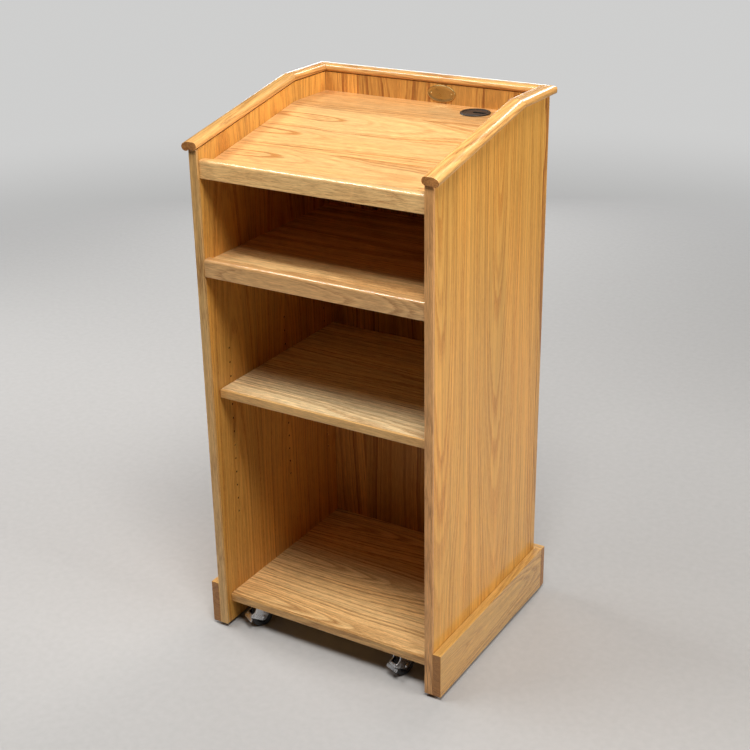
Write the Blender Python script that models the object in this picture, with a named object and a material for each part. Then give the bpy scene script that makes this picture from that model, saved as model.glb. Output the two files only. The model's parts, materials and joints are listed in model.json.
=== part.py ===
"""Presentation lectern: an open-backed oak cabinet on four swivel casters, modelled piece by piece.

Frame: metres, +Z up, origin on the floor under the middle of the bounding box. The speaker stands
on the -Y side, where the shelves are open; +X is on the right of somebody who looks along +Y.
"""
import math

import bmesh
import bpy
from mathutils import Matrix, Vector

# Driving dimensions of the cabinet
PLY = 0.01905
BODY_WIDTH = 0.545
BODY_DEPTH = 0.4865
PANEL_BOTTOM = 0.008
SKIRT_HEIGHT = 0.1016
SKIRT_THICKNESS = 0.01905
BAND = 0.006
GAP = 0.0003
EASE = 0.0008
SMALL_EASE = 0.0005

# Joints between boards: how far the tongues go into the panels, how far a tongue's top lies below its
# board's, and how much a panel is thinned where a skirt or the rail's lip is glued over it
HOUSING_DEPTH = 0.006
SHOULDER = 0.006
RELIEF = 0.0003
OVERCUT = 0.002

# Writing surface: a slope that runs up to a level ledge at the audience side
SLOPE = 0.197
BEND_DEPTH = 0.3435
LEDGE_TOP = 1.1255
RIM_HEIGHT = 0.041

# Front edges of the boards, measured back from the front faces of the side panels
BOOK_STOP_SETBACK = 0.0063
BOOK_STOP_UNDERSIDE = 1.0402
UPPER_NOSING_SETBACK = 0.0017
UPPER_NOSING_UNDERSIDE = 0.837
NOSING_HEIGHT = 0.0375
NOSING_LIP = 0.006
NOSING_RADIUS = 0.006
ADJUSTABLE_SETBACK = 0.025
ADJUSTABLE_SIDE_GAP = 0.0015
ADJUSTABLE_REAR_GAP = 0.003
BOTTOM_SETBACK = 0.01905
BOTTOM_UNDERSIDE = 0.060

# Rail that caps the rim: lengths across and above the top edge of a panel
CAP_THICKNESS = 0.0165
CAP_OVERHANG_OUT = 0.0132
CAP_OVERHANG_IN = 0.004
CAP_LIP = 0.0022
CAP_TOE = 0.003
CAP_SHOULDER = 0.006
CAP_FLAT_END = -0.004
CAP_NOSE = 0.0043
CAP_CORNER_RADIUS = 0.010

# Rows of holes for the shelf pins
PIN_COLUMNS = (0.067, 0.2715, 0.432)
PIN_COLUMNS_USED = (0.067, 0.432)
PIN_FIRST_HEIGHT = 0.2674
PIN_PITCH = 0.0326
PIN_HOLES = 13
PIN_HOLE_RADIUS = 0.0026
PIN_HOLE_DEPTH = 0.011
PIN_HOLE_IN_USE = 9
PIN_TONGUE_DROP = 0.0007
PIN_SHANK_RADIUS = 0.0021
PIN_COLLAR_RADIUS = 0.0042
PIN_TONGUE_HALF_WIDTH = 0.0036
PIN_TONGUE_THICKNESS = 0.0032
PIN_TONGUE_LENGTH = 0.0135

# Cable grommet in the ledge
GROMMET_X = 0.138
GROMMET_DEPTH = 0.421
GROMMET_FLANGE_RADIUS = 0.0315
GROMMET_HOLE_RADIUS = 0.0285
GROMMET_BARREL_RADIUS = 0.028
GROMMET_BORE_RADIUS = 0.0262
GROMMET_RISE = 0.0030
GROMMET_RECESS = 0.0006
GROMMET_SLOT_WIDTH = 0.0115
GROMMET_ROUND = 36

# Blank plaque on the inside of the rear panel
PLAQUE_X = 0.035
PLAQUE_WIDTH = 0.066
PLAQUE_HEIGHT = 0.036
PLAQUE_THICKNESS = 0.0022
PLAQUE_RISE = 0.0026
PLAQUE_ROUND = 36

# Casters with 2 in wheels
CASTER_X = 0.1835
CASTER_FRONT_DEPTH = 0.066
CASTER_REAR_DEPTH = 0.405
WHEEL_RADIUS = 0.025
WHEEL_RIM_RADIUS = 0.0178
TRAIL = 0.020
PLATE_TOP = BOTTOM_UNDERSIDE - GAP
PLATE_THICKNESS = 0.002
PLATE_HALF_LENGTH = 0.030
PLATE_HALF_WIDTH = 0.023
PLATE_SCREWS = (0.0235, 0.0165)
FORK_TOP = 0.0545
SHEET = 0.002
FORK_HALF_WIDTH = 0.0115
KINGPIN_RADIUS = 0.004
AXLE_RADIUS = 0.003
BRAKE_PIN_RADIUS = 0.0018
BRAKE_PIN_X = 0.0474
BRAKE_PIN_Z = 0.035
LUG_RADIUS = 0.0038
PEDAL_BOSS_RADIUS = 0.0031
PEDAL_PRESS = 25.0
PEDAL_DROP = 65.0
PEDAL_HALF_WIDTH = 0.0165
PEDAL_NECK_HALF_WIDTH = 0.008
PEDAL_LENGTH = 0.0125
PEDAL_TEETH = 7
CASTER_ROUND = 20
TYRE_ROUND = 24
# name: (side, depth behind the front faces, heading of the trailing wheel in degrees, has a pedal)
CASTERS = {
    "front_left_caster": (-1, CASTER_FRONT_DEPTH, 240.0, True),
    "front_right_caster": (1, CASTER_FRONT_DEPTH, 250.0, True),
    "rear_left_caster": (-1, CASTER_REAR_DEPTH, 236.0, False),
    "rear_right_caster": (1, CASTER_REAR_DEPTH, 246.0, False),
}

# Worked out from the driving dimensions
HALF_WIDTH = BODY_WIDTH / 2
INNER_HALF = HALF_WIDTH - PLY
FRONT = -(BODY_DEPTH + SKIRT_THICKNESS - CAP_NOSE) / 2
REAR_FACE = FRONT + BODY_DEPTH
REAR_INNER = REAR_FACE - PLY
BEND = FRONT + BEND_DEPTH
PANEL_TOP = LEDGE_TOP + RIM_HEIGHT
SLOPE_ANGLE = math.atan(SLOPE)
PIN_HEIGHT = PIN_FIRST_HEIGHT + PIN_PITCH * PIN_HOLE_IN_USE
ADJUSTABLE_UNDERSIDE = PIN_HEIGHT - PIN_TONGUE_DROP + GAP


# ---------------------------------------------------------------- scene and materials

def clear_scene():
    """Leave no object of an earlier run or of the start-up scene."""
    for thing in list(bpy.data.objects):
        bpy.data.objects.remove(thing, do_unlink=True)


def make_material(name, colour, roughness, metallic=0.0):
    """Plain surface with a colour, a roughness and a metallic value."""
    material = bpy.data.materials.new(name)
    material.use_nodes = True
    shader = material.node_tree.nodes["Principled BSDF"]
    shader.inputs["Base Color"].default_value = (*colour, 1.0)
    shader.inputs["Roughness"].default_value = roughness
    shader.inputs["Metallic"].default_value = metallic
    return material


# ---------------------------------------------------------------- mesh tools

def mesh_from(verts, faces):
    """Mesh of one closed solid, with its faces turned outwards."""
    mesh = bpy.data.meshes.new("solid")
    mesh.from_pydata(verts, [], faces)
    shape = bmesh.new()
    shape.from_mesh(mesh)
    bmesh.ops.recalc_face_normals(shape, faces=shape.faces)
    shape.to_mesh(mesh)
    shape.free()
    return mesh


def prism(outline, axis, start, end):
    """An outline pushed along an axis: (y, z) points along X, (x, z) along Y, (x, y) along Z."""
    lift = {
        "X": lambda u, v, w: (w, u, v),
        "Y": lambda u, v, w: (u, w, v),
        "Z": lambda u, v, w: (u, v, w),
    }[axis]
    count = len(outline)
    verts = [lift(u, v, w) for w in (start, end) for u, v in outline]
    sides = [[i, (i + 1) % count, count + (i + 1) % count, count + i] for i in range(count)]
    caps = [list(range(count)), list(range(count, 2 * count))]
    return mesh_from(verts, caps + sides)


def block(low, high):
    """Rectangular board between two corners."""
    outline = [(low[0], low[1]), (high[0], low[1]), (high[0], high[1]), (low[0], high[1])]
    return prism(outline, "Z", low[2], high[2])


def arc(centre, radius, start, end, steps, squash=1.0):
    """Points on a round stretch of an outline, from one angle in degrees to another."""
    points = []
    for step in range(steps + 1):
        angle = math.radians(start + (end - start) * step / steps)
        points.append((centre[0] + radius * math.cos(angle), centre[1] + squash * radius * math.sin(angle)))
    return points


def turned(profile, segments, closed=False):
    """A profile of (radius, height) points turned about Z; closed joins its last point to its first."""
    verts = []
    rings = []
    for radius, height in profile:
        count = 1 if radius == 0 else segments
        rings.append([len(verts) + i for i in range(count)])
        for i in range(count):
            angle = math.tau * i / segments
            verts.append((radius * math.cos(angle), radius * math.sin(angle), height))
    pairs = list(zip(rings, rings[1:]))
    if closed:
        pairs.append((rings[-1], rings[0]))
    faces = []
    for lower, upper in pairs:
        for i in range(segments):
            j = (i + 1) % segments
            corners = [lower[i % len(lower)], lower[j % len(lower)]]
            corners += [upper[j % len(upper)], upper[i % len(upper)]]
            faces.append(list(dict.fromkeys(corners)))
    return mesh_from(verts, [face for face in faces if len(face) > 2])


def moved(mesh, matrix):
    """The mesh after a move, with nothing shared with the original."""
    result = mesh.copy()
    result.transform(matrix)
    return result


def turned_along_y(profile, segments, closed=False):
    """A turned solid whose axis lies along Y, with a corner of its outline straight below the axis."""
    return moved(turned(profile, segments, closed), Matrix.Rotation(math.radians(-90), 4, "X"))


def gathered(meshes):
    """Several solids that don't touch, in one mesh, to be used as one cutter."""
    shape = bmesh.new()
    for mesh in meshes:
        shape.from_mesh(mesh)
    result = bpy.data.meshes.new("cutters")
    shape.to_mesh(result)
    shape.free()
    return result


def eased(mesh, width=EASE, segments=2):
    """Every sharp edge taken off with a small round."""
    shape = bmesh.new()
    shape.from_mesh(mesh)
    sharp = [edge for edge in shape.edges if edge.calc_face_angle(0) > math.radians(40)]
    bmesh.ops.bevel(
        shape, geom=sharp, offset=width, segments=segments, profile=0.5, affect="EDGES", clamp_overlap=True
    )
    bmesh.ops.recalc_face_normals(shape, faces=shape.faces)
    result = bpy.data.meshes.new("eased")
    shape.to_mesh(result)
    shape.free()
    return result


def combined(mesh, tool, operation):
    """The mesh joined with (UNION), cut by (DIFFERENCE) or held inside (INTERSECT) another one."""
    body = bpy.data.objects.new("work", mesh)
    cutter = bpy.data.objects.new("cutter", tool)
    for thing in (body, cutter):
        bpy.context.scene.collection.objects.link(thing)
    modifier = body.modifiers.new("combine", "BOOLEAN")
    modifier.operation = operation
    modifier.object = cutter
    bpy.context.view_layer.update()
    graph = bpy.context.evaluated_depsgraph_get()
    result = bpy.data.meshes.new_from_object(body.evaluated_get(graph))
    for thing in (body, cutter):
        bpy.data.objects.remove(thing, do_unlink=True)
    return result


def add(name, mesh, material, location=(0, 0, 0), parent=None, in_place=False):
    """A named piece. in_place takes a mesh drawn in the lectern's frame and keeps it where it is."""
    own_mesh = moved(mesh, Matrix.Translation(-Vector(location))) if in_place else mesh
    own_mesh.shade_smooth()
    own_mesh.set_sharp_from_angle(angle=math.radians(35))
    own_mesh.materials.clear()
    own_mesh.materials.append(material)
    piece = bpy.data.objects.new(name, own_mesh)
    piece.location = location
    piece.parent = parent
    bpy.context.scene.collection.objects.link(piece)
    return piece


# ---------------------------------------------------------------- heights of the writing surface

def surface_height(depth):
    """Height of the writing surface at a depth behind the front faces."""
    return LEDGE_TOP - SLOPE * max(0.0, BEND_DEPTH - depth)


def rim_bend_depth():
    """Depth at which the top edge of a side panel bends, so that the rim looks equally high all along."""
    return BEND_DEPTH + RIM_HEIGHT * math.tan(SLOPE_ANGLE / 2)


def rim_height(depth):
    """Height of a side panel's top edge at a depth behind the front faces."""
    return PANEL_TOP - SLOPE * max(0.0, rim_bend_depth() - depth)


# ---------------------------------------------------------------- cabinet

def sloped(mesh):
    """A level board's mesh sheared so that it falls towards the speaker from the bend onwards."""
    shear = Matrix.Identity(4)
    shear[2][1] = SLOPE
    shear[2][3] = -SLOPE * BEND
    return moved(mesh, shear)


def tongued_board(front, rear, top, thickness=PLY):
    """A level board between the side panels, with a tongue for a housing at each end."""
    tip = INNER_HALF + HOUSING_DEPTH - GAP
    half = INNER_HALF - GAP
    underside = top - thickness
    step = top - SHOULDER
    outline = [
        (-tip, underside), (tip, underside), (tip, step), (half, step),
        (half, top), (-half, top), (-half, step), (-tip, step),
    ]
    return prism(outline, "Y", front, rear)


def housing(side, front, rear, top, thickness=PLY):
    """Cutter for the housing of a board's tongue, on the inner face of a side panel."""
    low_x, high_x = sorted((side * (INNER_HALF - OVERCUT), side * (INNER_HALF + HOUSING_DEPTH)))
    low = (low_x, front - GAP, top - thickness - GAP)
    return block(low, (high_x, rear + GAP, top - SHOULDER + GAP))


def fixed_boards():
    """Front, rear and top of each level board that is housed in the side panels."""
    rear = REAR_INNER - GAP
    upper_top = UPPER_NOSING_UNDERSIDE + NOSING_HEIGHT - NOSING_LIP
    return {
        "bottom_shelf": (FRONT + BOTTOM_SETBACK + BAND + GAP, rear, BOTTOM_UNDERSIDE + PLY),
        "upper_shelf": (FRONT + UPPER_NOSING_SETBACK + PLY + GAP, rear, upper_top),
        "rear_ledge": (BEND, rear, LEDGE_TOP),
    }


def reading_board():
    """Front, rear, top and upright thickness of the reading surface before it is sheared to its slope."""
    front = FRONT + BOOK_STOP_SETBACK + PLY + GAP
    return front, BEND - GAP, LEDGE_TOP, PLY / math.cos(SLOPE_ANGLE)


def outer_reliefs(side):
    """Cutters that thin a side panel's outer face under the skirt and under the lip of the rail."""
    low_x, high_x = sorted((side * (HALF_WIDTH - RELIEF), side * (HALF_WIDTH + OVERCUT)))
    foot_top = PANEL_BOTTOM + SKIRT_HEIGHT + GAP
    foot = block((low_x, FRONT, 0), (high_x, REAR_FACE, foot_top))
    drop = CAP_LIP + GAP
    bend = rim_bend_depth() - drop * math.tan(SLOPE_ANGLE / 2)
    lower = PANEL_TOP - drop
    upper = PANEL_TOP + OVERCUT
    outline = [
        (FRONT, lower - SLOPE * bend),
        (FRONT + bend, lower),
        (REAR_FACE, lower),
        (REAR_FACE, upper),
        (FRONT, upper),
    ]
    return gathered([foot, prism(outline, "X", low_x, high_x)])


def pin_holes(side):
    """Cutters for the columns of shelf-pin holes in a side panel."""
    quarter = Matrix.Rotation(math.radians(90), 4, "Y")
    low, high = sorted((side * (INNER_HALF - OVERCUT), side * (INNER_HALF + PIN_HOLE_DEPTH)))
    profile = [(0, low), (PIN_HOLE_RADIUS, low), (PIN_HOLE_RADIUS, high), (0, high)]
    drill = moved(turned(profile, 8), quarter)
    holes = []
    for depth in PIN_COLUMNS:
        for number in range(PIN_HOLES):
            height = PIN_FIRST_HEIGHT + PIN_PITCH * number
            holes.append(moved(drill, Matrix.Translation((0, FRONT + depth, height))))
    return holes


def side_panel(name, side, veneer, solid):
    """A side panel with its shaped top edge, and the solid band on its front edge."""
    inner, outer = sorted((side * INNER_HALF, side * HALF_WIDTH))
    bend = rim_bend_depth()
    start = BAND + GAP
    end = BODY_DEPTH - PLY - GAP
    outline = [
        (FRONT + start, PANEL_BOTTOM),
        (FRONT + start, rim_height(start)),
        (FRONT + bend, PANEL_TOP),
        (FRONT + end, PANEL_TOP),
        (FRONT + end, PANEL_BOTTOM),
    ]
    panel = eased(prism(outline, "X", inner, outer), width=SMALL_EASE, segments=1)
    for board in fixed_boards().values():
        panel = combined(panel, housing(side, *board), "DIFFERENCE")
    panel = combined(panel, sloped(housing(side, *reading_board())), "DIFFERENCE")
    panel = combined(panel, gathered(pin_holes(side)), "DIFFERENCE")
    panel = combined(panel, outer_reliefs(side), "DIFFERENCE")
    add(name + "_panel", panel, veneer, (side * (HALF_WIDTH + INNER_HALF) / 2, FRONT, 0), in_place=True)
    band_outline = [
        (FRONT, PANEL_BOTTOM),
        (FRONT, rim_height(0)),
        (FRONT + BAND, rim_height(BAND)),
        (FRONT + BAND, PANEL_BOTTOM),
    ]
    band = eased(prism(band_outline, "X", inner, outer))
    add(name + "_front_band", band, solid, (side * (HALF_WIDTH + INNER_HALF) / 2, FRONT, 0), in_place=True)


def rear_panel(veneer):
    """The audience side of the cabinet. It covers the rear edges of the side panels."""
    panel = eased(block((-HALF_WIDTH, REAR_INNER, PANEL_BOTTOM), (HALF_WIDTH, REAR_FACE, PANEL_TOP)))
    near = REAR_FACE - RELIEF
    far = REAR_FACE + OVERCUT
    wide = HALF_WIDTH + OVERCUT
    foot = block((-wide, near, 0), (wide, far, PANEL_BOTTOM + SKIRT_HEIGHT + GAP))
    head = block((-wide, near, PANEL_TOP - CAP_LIP - GAP), (wide, far, PANEL_TOP + OVERCUT))
    panel = combined(panel, gathered([foot, head]), "DIFFERENCE")
    add("rear_panel", panel, veneer, (0, REAR_INNER, 0), in_place=True)


def writing_surface(veneer):
    """The sloping reading surface and the level ledge behind it, with the stepped hole of the grommet."""
    slope = eased(sloped(tongued_board(*reading_board())), width=SMALL_EASE, segments=1)
    add("reading_surface", slope, veneer, (0, BEND, LEDGE_TOP), in_place=True)
    ledge = tongued_board(*fixed_boards()["rear_ledge"])
    flange_room = GROMMET_FLANGE_RADIUS + GAP
    drill = turned(
        [
            (0, LEDGE_TOP - 2 * PLY),
            (GROMMET_HOLE_RADIUS, LEDGE_TOP - 2 * PLY),
            (GROMMET_HOLE_RADIUS, LEDGE_TOP - GROMMET_RECESS),
            (flange_room, LEDGE_TOP - GROMMET_RECESS),
            (flange_room, LEDGE_TOP + PLY),
            (0, LEDGE_TOP + PLY),
        ],
        GROMMET_ROUND,
    )
    hole = moved(drill, Matrix.Translation((GROMMET_X, FRONT + GROMMET_DEPTH, 0)))
    add("rear_ledge", combined(ledge, hole, "DIFFERENCE"), veneer, (0, BEND, LEDGE_TOP), in_place=True)


def nosing(name, setback, underside, solid):
    """A deep solid strip across the front of a board, with its top edges rounded over."""
    front = FRONT + setback
    top = underside + NOSING_HEIGHT
    outline = [(front + PLY, underside), (front, underside)]
    outline += arc((front + NOSING_RADIUS, top - NOSING_RADIUS), NOSING_RADIUS, 180, 90, 5)
    back_radius = NOSING_RADIUS / 2
    outline += arc((front + PLY - back_radius, top - back_radius), back_radius, 90, 0, 3)
    half = INNER_HALF - GAP
    strip = prism(outline, "X", -half, half)
    add(name, strip, solid, (0, front, underside), in_place=True)


def edge_band(name, front, underside, half, solid):
    """Solid strip that hides the front edge of a board."""
    low = (-half, front, underside)
    high = (half, front + BAND, underside + PLY)
    add(name, eased(block(low, high), width=0.0015, segments=2), solid, (0, front, underside), in_place=True)


def shelves(veneer, solid):
    """The bottom shelf, the adjustable shelf and the upper shelf, with their front edges."""
    boards = fixed_boards()
    for name in ("bottom_shelf", "upper_shelf"):
        front, _, top = boards[name]
        add(name, tongued_board(*boards[name]), veneer, (0, front, top - PLY), in_place=True)
    edge_band("bottom_shelf_band", FRONT + BOTTOM_SETBACK, BOTTOM_UNDERSIDE, INNER_HALF - GAP, solid)
    nosing("upper_shelf_nosing", UPPER_NOSING_SETBACK, UPPER_NOSING_UNDERSIDE, solid)
    nosing("book_stop", BOOK_STOP_SETBACK, BOOK_STOP_UNDERSIDE, solid)

    half = INNER_HALF - ADJUSTABLE_SIDE_GAP
    front = FRONT + ADJUSTABLE_SETBACK
    low = (-half, front + BAND + GAP, ADJUSTABLE_UNDERSIDE)
    high = (half, REAR_INNER - ADJUSTABLE_REAR_GAP, ADJUSTABLE_UNDERSIDE + PLY)
    board = eased(block(low, high), width=SMALL_EASE, segments=1)
    add("adjustable_shelf", board, veneer, (0, front, ADJUSTABLE_UNDERSIDE), in_place=True)
    edge_band("adjustable_shelf_band", front, ADJUSTABLE_UNDERSIDE, half, solid)


def skirts(solid):
    """Plinth boards round three sides. The rear one covers the ends of the side ones."""
    top = PANEL_BOTTOM + SKIRT_HEIGHT
    for side, name in ((-1, "left_skirt"), (1, "right_skirt")):
        inner, outer = sorted((side * (HALF_WIDTH + GAP), side * (HALF_WIDTH + SKIRT_THICKNESS)))
        board = eased(block((inner, FRONT, PANEL_BOTTOM), (outer, REAR_FACE, top)))
        add(name, board, solid, (side * HALF_WIDTH, FRONT, PANEL_BOTTOM), in_place=True)
    half = HALF_WIDTH + SKIRT_THICKNESS
    low = (-half, REAR_FACE + GAP, PANEL_BOTTOM)
    high = (half, REAR_FACE + SKIRT_THICKNESS, top)
    add("rear_skirt", eased(block(low, high)), solid, (0, REAR_FACE, PANEL_BOTTOM), in_place=True)


# ---------------------------------------------------------------- cap rail

def cap_profile():
    """Section of the rail: (distance outwards from a panel's outer face, height above its top edge)."""
    inner_radius = (CAP_THICKNESS - GAP) / 2
    inner_centre = -(PLY + CAP_OVERHANG_IN) + inner_radius
    outline = arc((inner_centre, GAP + inner_radius), inner_radius, 270, 90, 8)
    reach = CAP_OVERHANG_OUT - CAP_FLAT_END
    rise = CAP_THICKNESS - CAP_SHOULDER
    outline += arc((CAP_FLAT_END, CAP_SHOULDER), reach, 90, 0, 6, squash=rise / reach)
    reach = CAP_OVERHANG_OUT - CAP_TOE
    outline += arc((CAP_TOE, CAP_SHOULDER), reach, -15, -90, 4, squash=(CAP_SHOULDER + CAP_LIP) / reach)
    outline += [(GAP, -CAP_LIP), (GAP, GAP)]
    return outline


def rail_plan():
    """Plan of the rail's outer edge pushed upwards, with its two audience-side corners rounded."""
    radius = CAP_CORNER_RADIUS
    side = HALF_WIDTH + CAP_OVERHANG_OUT - radius
    rear = REAR_FACE + CAP_OVERHANG_OUT - radius
    spare = radius + OVERCUT
    outline = [(-side - spare, FRONT - spare), (side + spare, FRONT - spare)]
    outline += [(side + spare, 0), (side + radius, 0)]
    outline += arc((side, rear), radius, 0, 90, 6)
    outline += arc((-side, rear), radius, 90, 180, 6)
    outline += [(-side - radius, 0), (-side - spare, 0)]
    return prism(outline, "Z", LEDGE_TOP, PANEL_TOP + 2 * CAP_THICKNESS)


def mitred_run(outline, start, end, start_normal, end_normal, outwards):
    """A section swept from start to end and cut there by the planes with the given normals."""
    along = (end - start).normalized()
    up = outwards.cross(along)
    if up.z < 0:
        up = -up
    verts = []
    for point, normal, inset in ((start, start_normal, GAP / 2), (end, end_normal, -GAP / 2)):
        for across, above in outline:
            offset = outwards * across + up * above
            slide = -offset.dot(normal) / along.dot(normal)
            verts.append(point + offset + along * (slide + inset))
    count = len(outline)
    sides = [[i, (i + 1) % count, count + (i + 1) % count, count + i] for i in range(count)]
    caps = [list(range(count)), list(range(count, 2 * count))]
    return mesh_from(verts, caps + sides)


def cap_rail(solid):
    """The moulded rail round three sides of the rim, in five mitred lengths."""
    outline = cap_profile()
    plumb = Vector((0, 1, 0))
    bend_normal = Vector((0, math.cos(SLOPE_ANGLE / 2), math.sin(SLOPE_ANGLE / 2)))
    nose_height = rim_height(0) - SLOPE * CAP_NOSE
    plan = rail_plan()
    for side, name in ((-1, "left"), (1, "right")):
        x = side * HALF_WIDTH
        outwards = Vector((side, 0, 0))
        nose = Vector((x, FRONT - CAP_NOSE - GAP / 2, nose_height))
        bend = Vector((x, FRONT + rim_bend_depth(), PANEL_TOP))
        corner = Vector((x, REAR_FACE, PANEL_TOP))
        mitre = Vector((side, -1, 0)).normalized()
        slope = mitred_run(outline, nose, bend, plumb, bend_normal, outwards)
        level = mitred_run(outline, bend, corner, bend_normal, mitre, outwards)
        level = combined(level, plan, "INTERSECT")
        add(name + "_slope_cap", slope, solid, tuple(bend), in_place=True)
        add(name + "_level_cap", level, solid, tuple(bend), in_place=True)
    left = Vector((-HALF_WIDTH, REAR_FACE, PANEL_TOP))
    right = Vector((HALF_WIDTH, REAR_FACE, PANEL_TOP))
    left_mitre = Vector((1, 1, 0)).normalized()
    right_mitre = Vector((1, -1, 0)).normalized()
    rear = mitred_run(outline, left, right, left_mitre, right_mitre, Vector((0, 1, 0)))
    rear = combined(rear, plan, "INTERSECT")
    add("rear_cap", rear, solid, (0, REAR_FACE, PANEL_TOP), in_place=True)


# ---------------------------------------------------------------- fittings

def plaque(brass):
    """Blank oval plaque with a raised rim, on the inside of the rear panel above the ledge."""
    back = -GAP
    face = -PLAQUE_THICKNESS
    field = face + 0.0009
    rings = [(1.0, back), (1.0, face + 0.0006), (0.97, face), (0.90, face), (0.87, field)]
    segments = PLAQUE_ROUND
    verts = []
    for scale, depth in rings:
        for i in range(segments):
            angle = math.tau * i / segments
            x = (PLAQUE_WIDTH / 2 - (1 - scale) * PLAQUE_HEIGHT / 2) * math.cos(angle)
            verts.append((x, depth, scale * PLAQUE_HEIGHT / 2 * math.sin(angle)))
    faces = [list(range(segments))]
    faces.append([len(verts) - segments + i for i in range(segments)])
    for ring in range(len(rings) - 1):
        for i in range(segments):
            j = (i + 1) % segments
            low = ring * segments
            high = low + segments
            faces.append([low + i, low + j, high + j, high + i])
    height = LEDGE_TOP + PLAQUE_RISE + PLAQUE_HEIGHT / 2
    add("brass_plaque", mesh_from(verts, faces), brass, (PLAQUE_X, REAR_INNER, height))


def grommet(plastic):
    """Liner of the cable hole, and its cap with a slot that the cable comes out of."""
    flange = GROMMET_RISE
    seat = GAP - GROMMET_RECESS
    step = flange - 0.0048
    profile = [
        (GROMMET_BARREL_RADIUS, -0.024),
        (GROMMET_BARREL_RADIUS, seat),
        (GROMMET_FLANGE_RADIUS, seat),
        (GROMMET_FLANGE_RADIUS, flange - 0.0012),
        (GROMMET_FLANGE_RADIUS - 0.0012, flange),
        (GROMMET_BORE_RADIUS + 0.0006, flange),
        (GROMMET_BORE_RADIUS, flange - 0.0006),
        (GROMMET_BORE_RADIUS, step),
        (GROMMET_BORE_RADIUS - 0.0018, step),
        (GROMMET_BORE_RADIUS, step - 0.0038),
        (GROMMET_BORE_RADIUS, -0.024),
    ]
    location = (GROMMET_X, FRONT + GROMMET_DEPTH, LEDGE_TOP)
    add("grommet_liner", turned(profile, GROMMET_ROUND, closed=True), plastic, location)

    radius = GROMMET_BORE_RADIUS - GAP
    low = step + GAP
    high = flange - 0.0012
    disc = turned(
        [(0, low), (radius, low), (radius, high - 0.0005), (radius - 0.0005, high), (0, high)], GROMMET_ROUND
    )
    half = GROMMET_SLOT_WIDTH / 2
    slot_outline = [(2 * radius, -half), (2 * radius, half)] + arc((0, 0), half, 90, 270, 8)
    slot = prism(slot_outline, "Z", low - PLY, high + PLY)
    add("grommet_cap", combined(disc, slot, "DIFFERENCE"), plastic, location)


def shelf_pins(metal):
    """Four spoon pins: a round shank in the panel, a collar and a flat tongue under the shelf."""
    radius = PIN_SHANK_RADIUS
    shank = turned([(0, -0.0095), (radius, -0.0095), (radius, 0.0010), (0, 0.0010)], 8)
    radius = PIN_COLLAR_RADIUS
    collar = turned([(0, GAP), (radius, GAP), (radius, 0.0012), (0, 0.0012)], 12)
    top = -PIN_TONGUE_DROP
    bottom = top - PIN_TONGUE_THICKNESS
    half = PIN_TONGUE_HALF_WIDTH
    tongue = prism([(-half, bottom), (half, bottom), (half, top), (-half, top)], "X", GAP, PIN_TONGUE_LENGTH)
    rounding = Matrix.Rotation(math.radians(90), 4, "Y")
    pin = combined(moved(shank, rounding), moved(collar, rounding), "UNION")
    pin = combined(pin, tongue, "UNION")
    mirror = Matrix.Rotation(math.radians(180), 4, "Z")
    for side, side_name in ((-1, "left"), (1, "right")):
        for depth, row in zip(PIN_COLUMNS_USED, ("front", "rear")):
            mesh = pin.copy() if side < 0 else moved(pin, mirror)
            add(f"{side_name}_{row}_shelf_pin", mesh, metal, (side * INNER_HALF, FRONT + depth, PIN_HEIGHT))


# ---------------------------------------------------------------- casters

def caster_plate():
    """Top plate with four screw holes and the pressed ring of the swivel bearing below it."""
    corner = 0.005
    outline = []
    for quadrant, (sign_x, sign_y) in enumerate(((1, 1), (-1, 1), (-1, -1), (1, -1))):
        centre = (sign_x * (PLATE_HALF_LENGTH - corner), sign_y * (PLATE_HALF_WIDTH - corner))
        outline += arc(centre, corner, 90 * quadrant, 90 * quadrant + 90, 2)
    bottom = PLATE_TOP - PLATE_THICKNESS
    plate = prism(outline, "Z", bottom, PLATE_TOP)
    race_low = FORK_TOP + GAP
    race = turned(
        [
            (0, race_low),
            (0.0155, race_low),
            (0.0165, race_low + 0.0012),
            (0.0185, bottom + 0.0005),
            (0, bottom + 0.0005),
        ],
        CASTER_ROUND,
    )
    plate = combined(plate, race, "UNION")
    drills = [upright_drill(KINGPIN_RADIUS + GAP, 12)]
    screw_x, screw_y = PLATE_SCREWS
    for x in (-screw_x, screw_x):
        for y in (-screw_y, screw_y):
            drills.append(moved(upright_drill(0.0024, 8), Matrix.Translation((x, y, 0))))
    return combined(plate, gathered(drills), "DIFFERENCE")


def upright_drill(radius, segments):
    """Cutter for a hole through the top of a caster."""
    low = FORK_TOP - 2 * SHEET
    high = PLATE_TOP + PLATE_THICKNESS
    return turned([(0, low), (radius, low), (radius, high), (0, high)], segments)


def cross_drill(radius, x, z):
    """Cutter for a hole across both legs of a fork."""
    reach = 2 * FORK_HALF_WIDTH
    drill = turned_along_y([(0, -reach), (radius, -reach), (radius, reach), (0, reach)], 8)
    return moved(drill, Matrix.Translation((x, 0, z)))


def kingpin():
    """Rivet that holds the fork under the plate, with its head inside the fork."""
    head_top = FORK_TOP - SHEET - GAP
    return turned(
        [
            (0, head_top - 0.0022),
            (0.0052, head_top - 0.0022),
            (0.0066, head_top),
            (KINGPIN_RADIUS, head_top),
            (KINGPIN_RADIUS, PLATE_TOP - GAP),
            (0, PLATE_TOP - GAP),
        ],
        12,
    )


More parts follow.
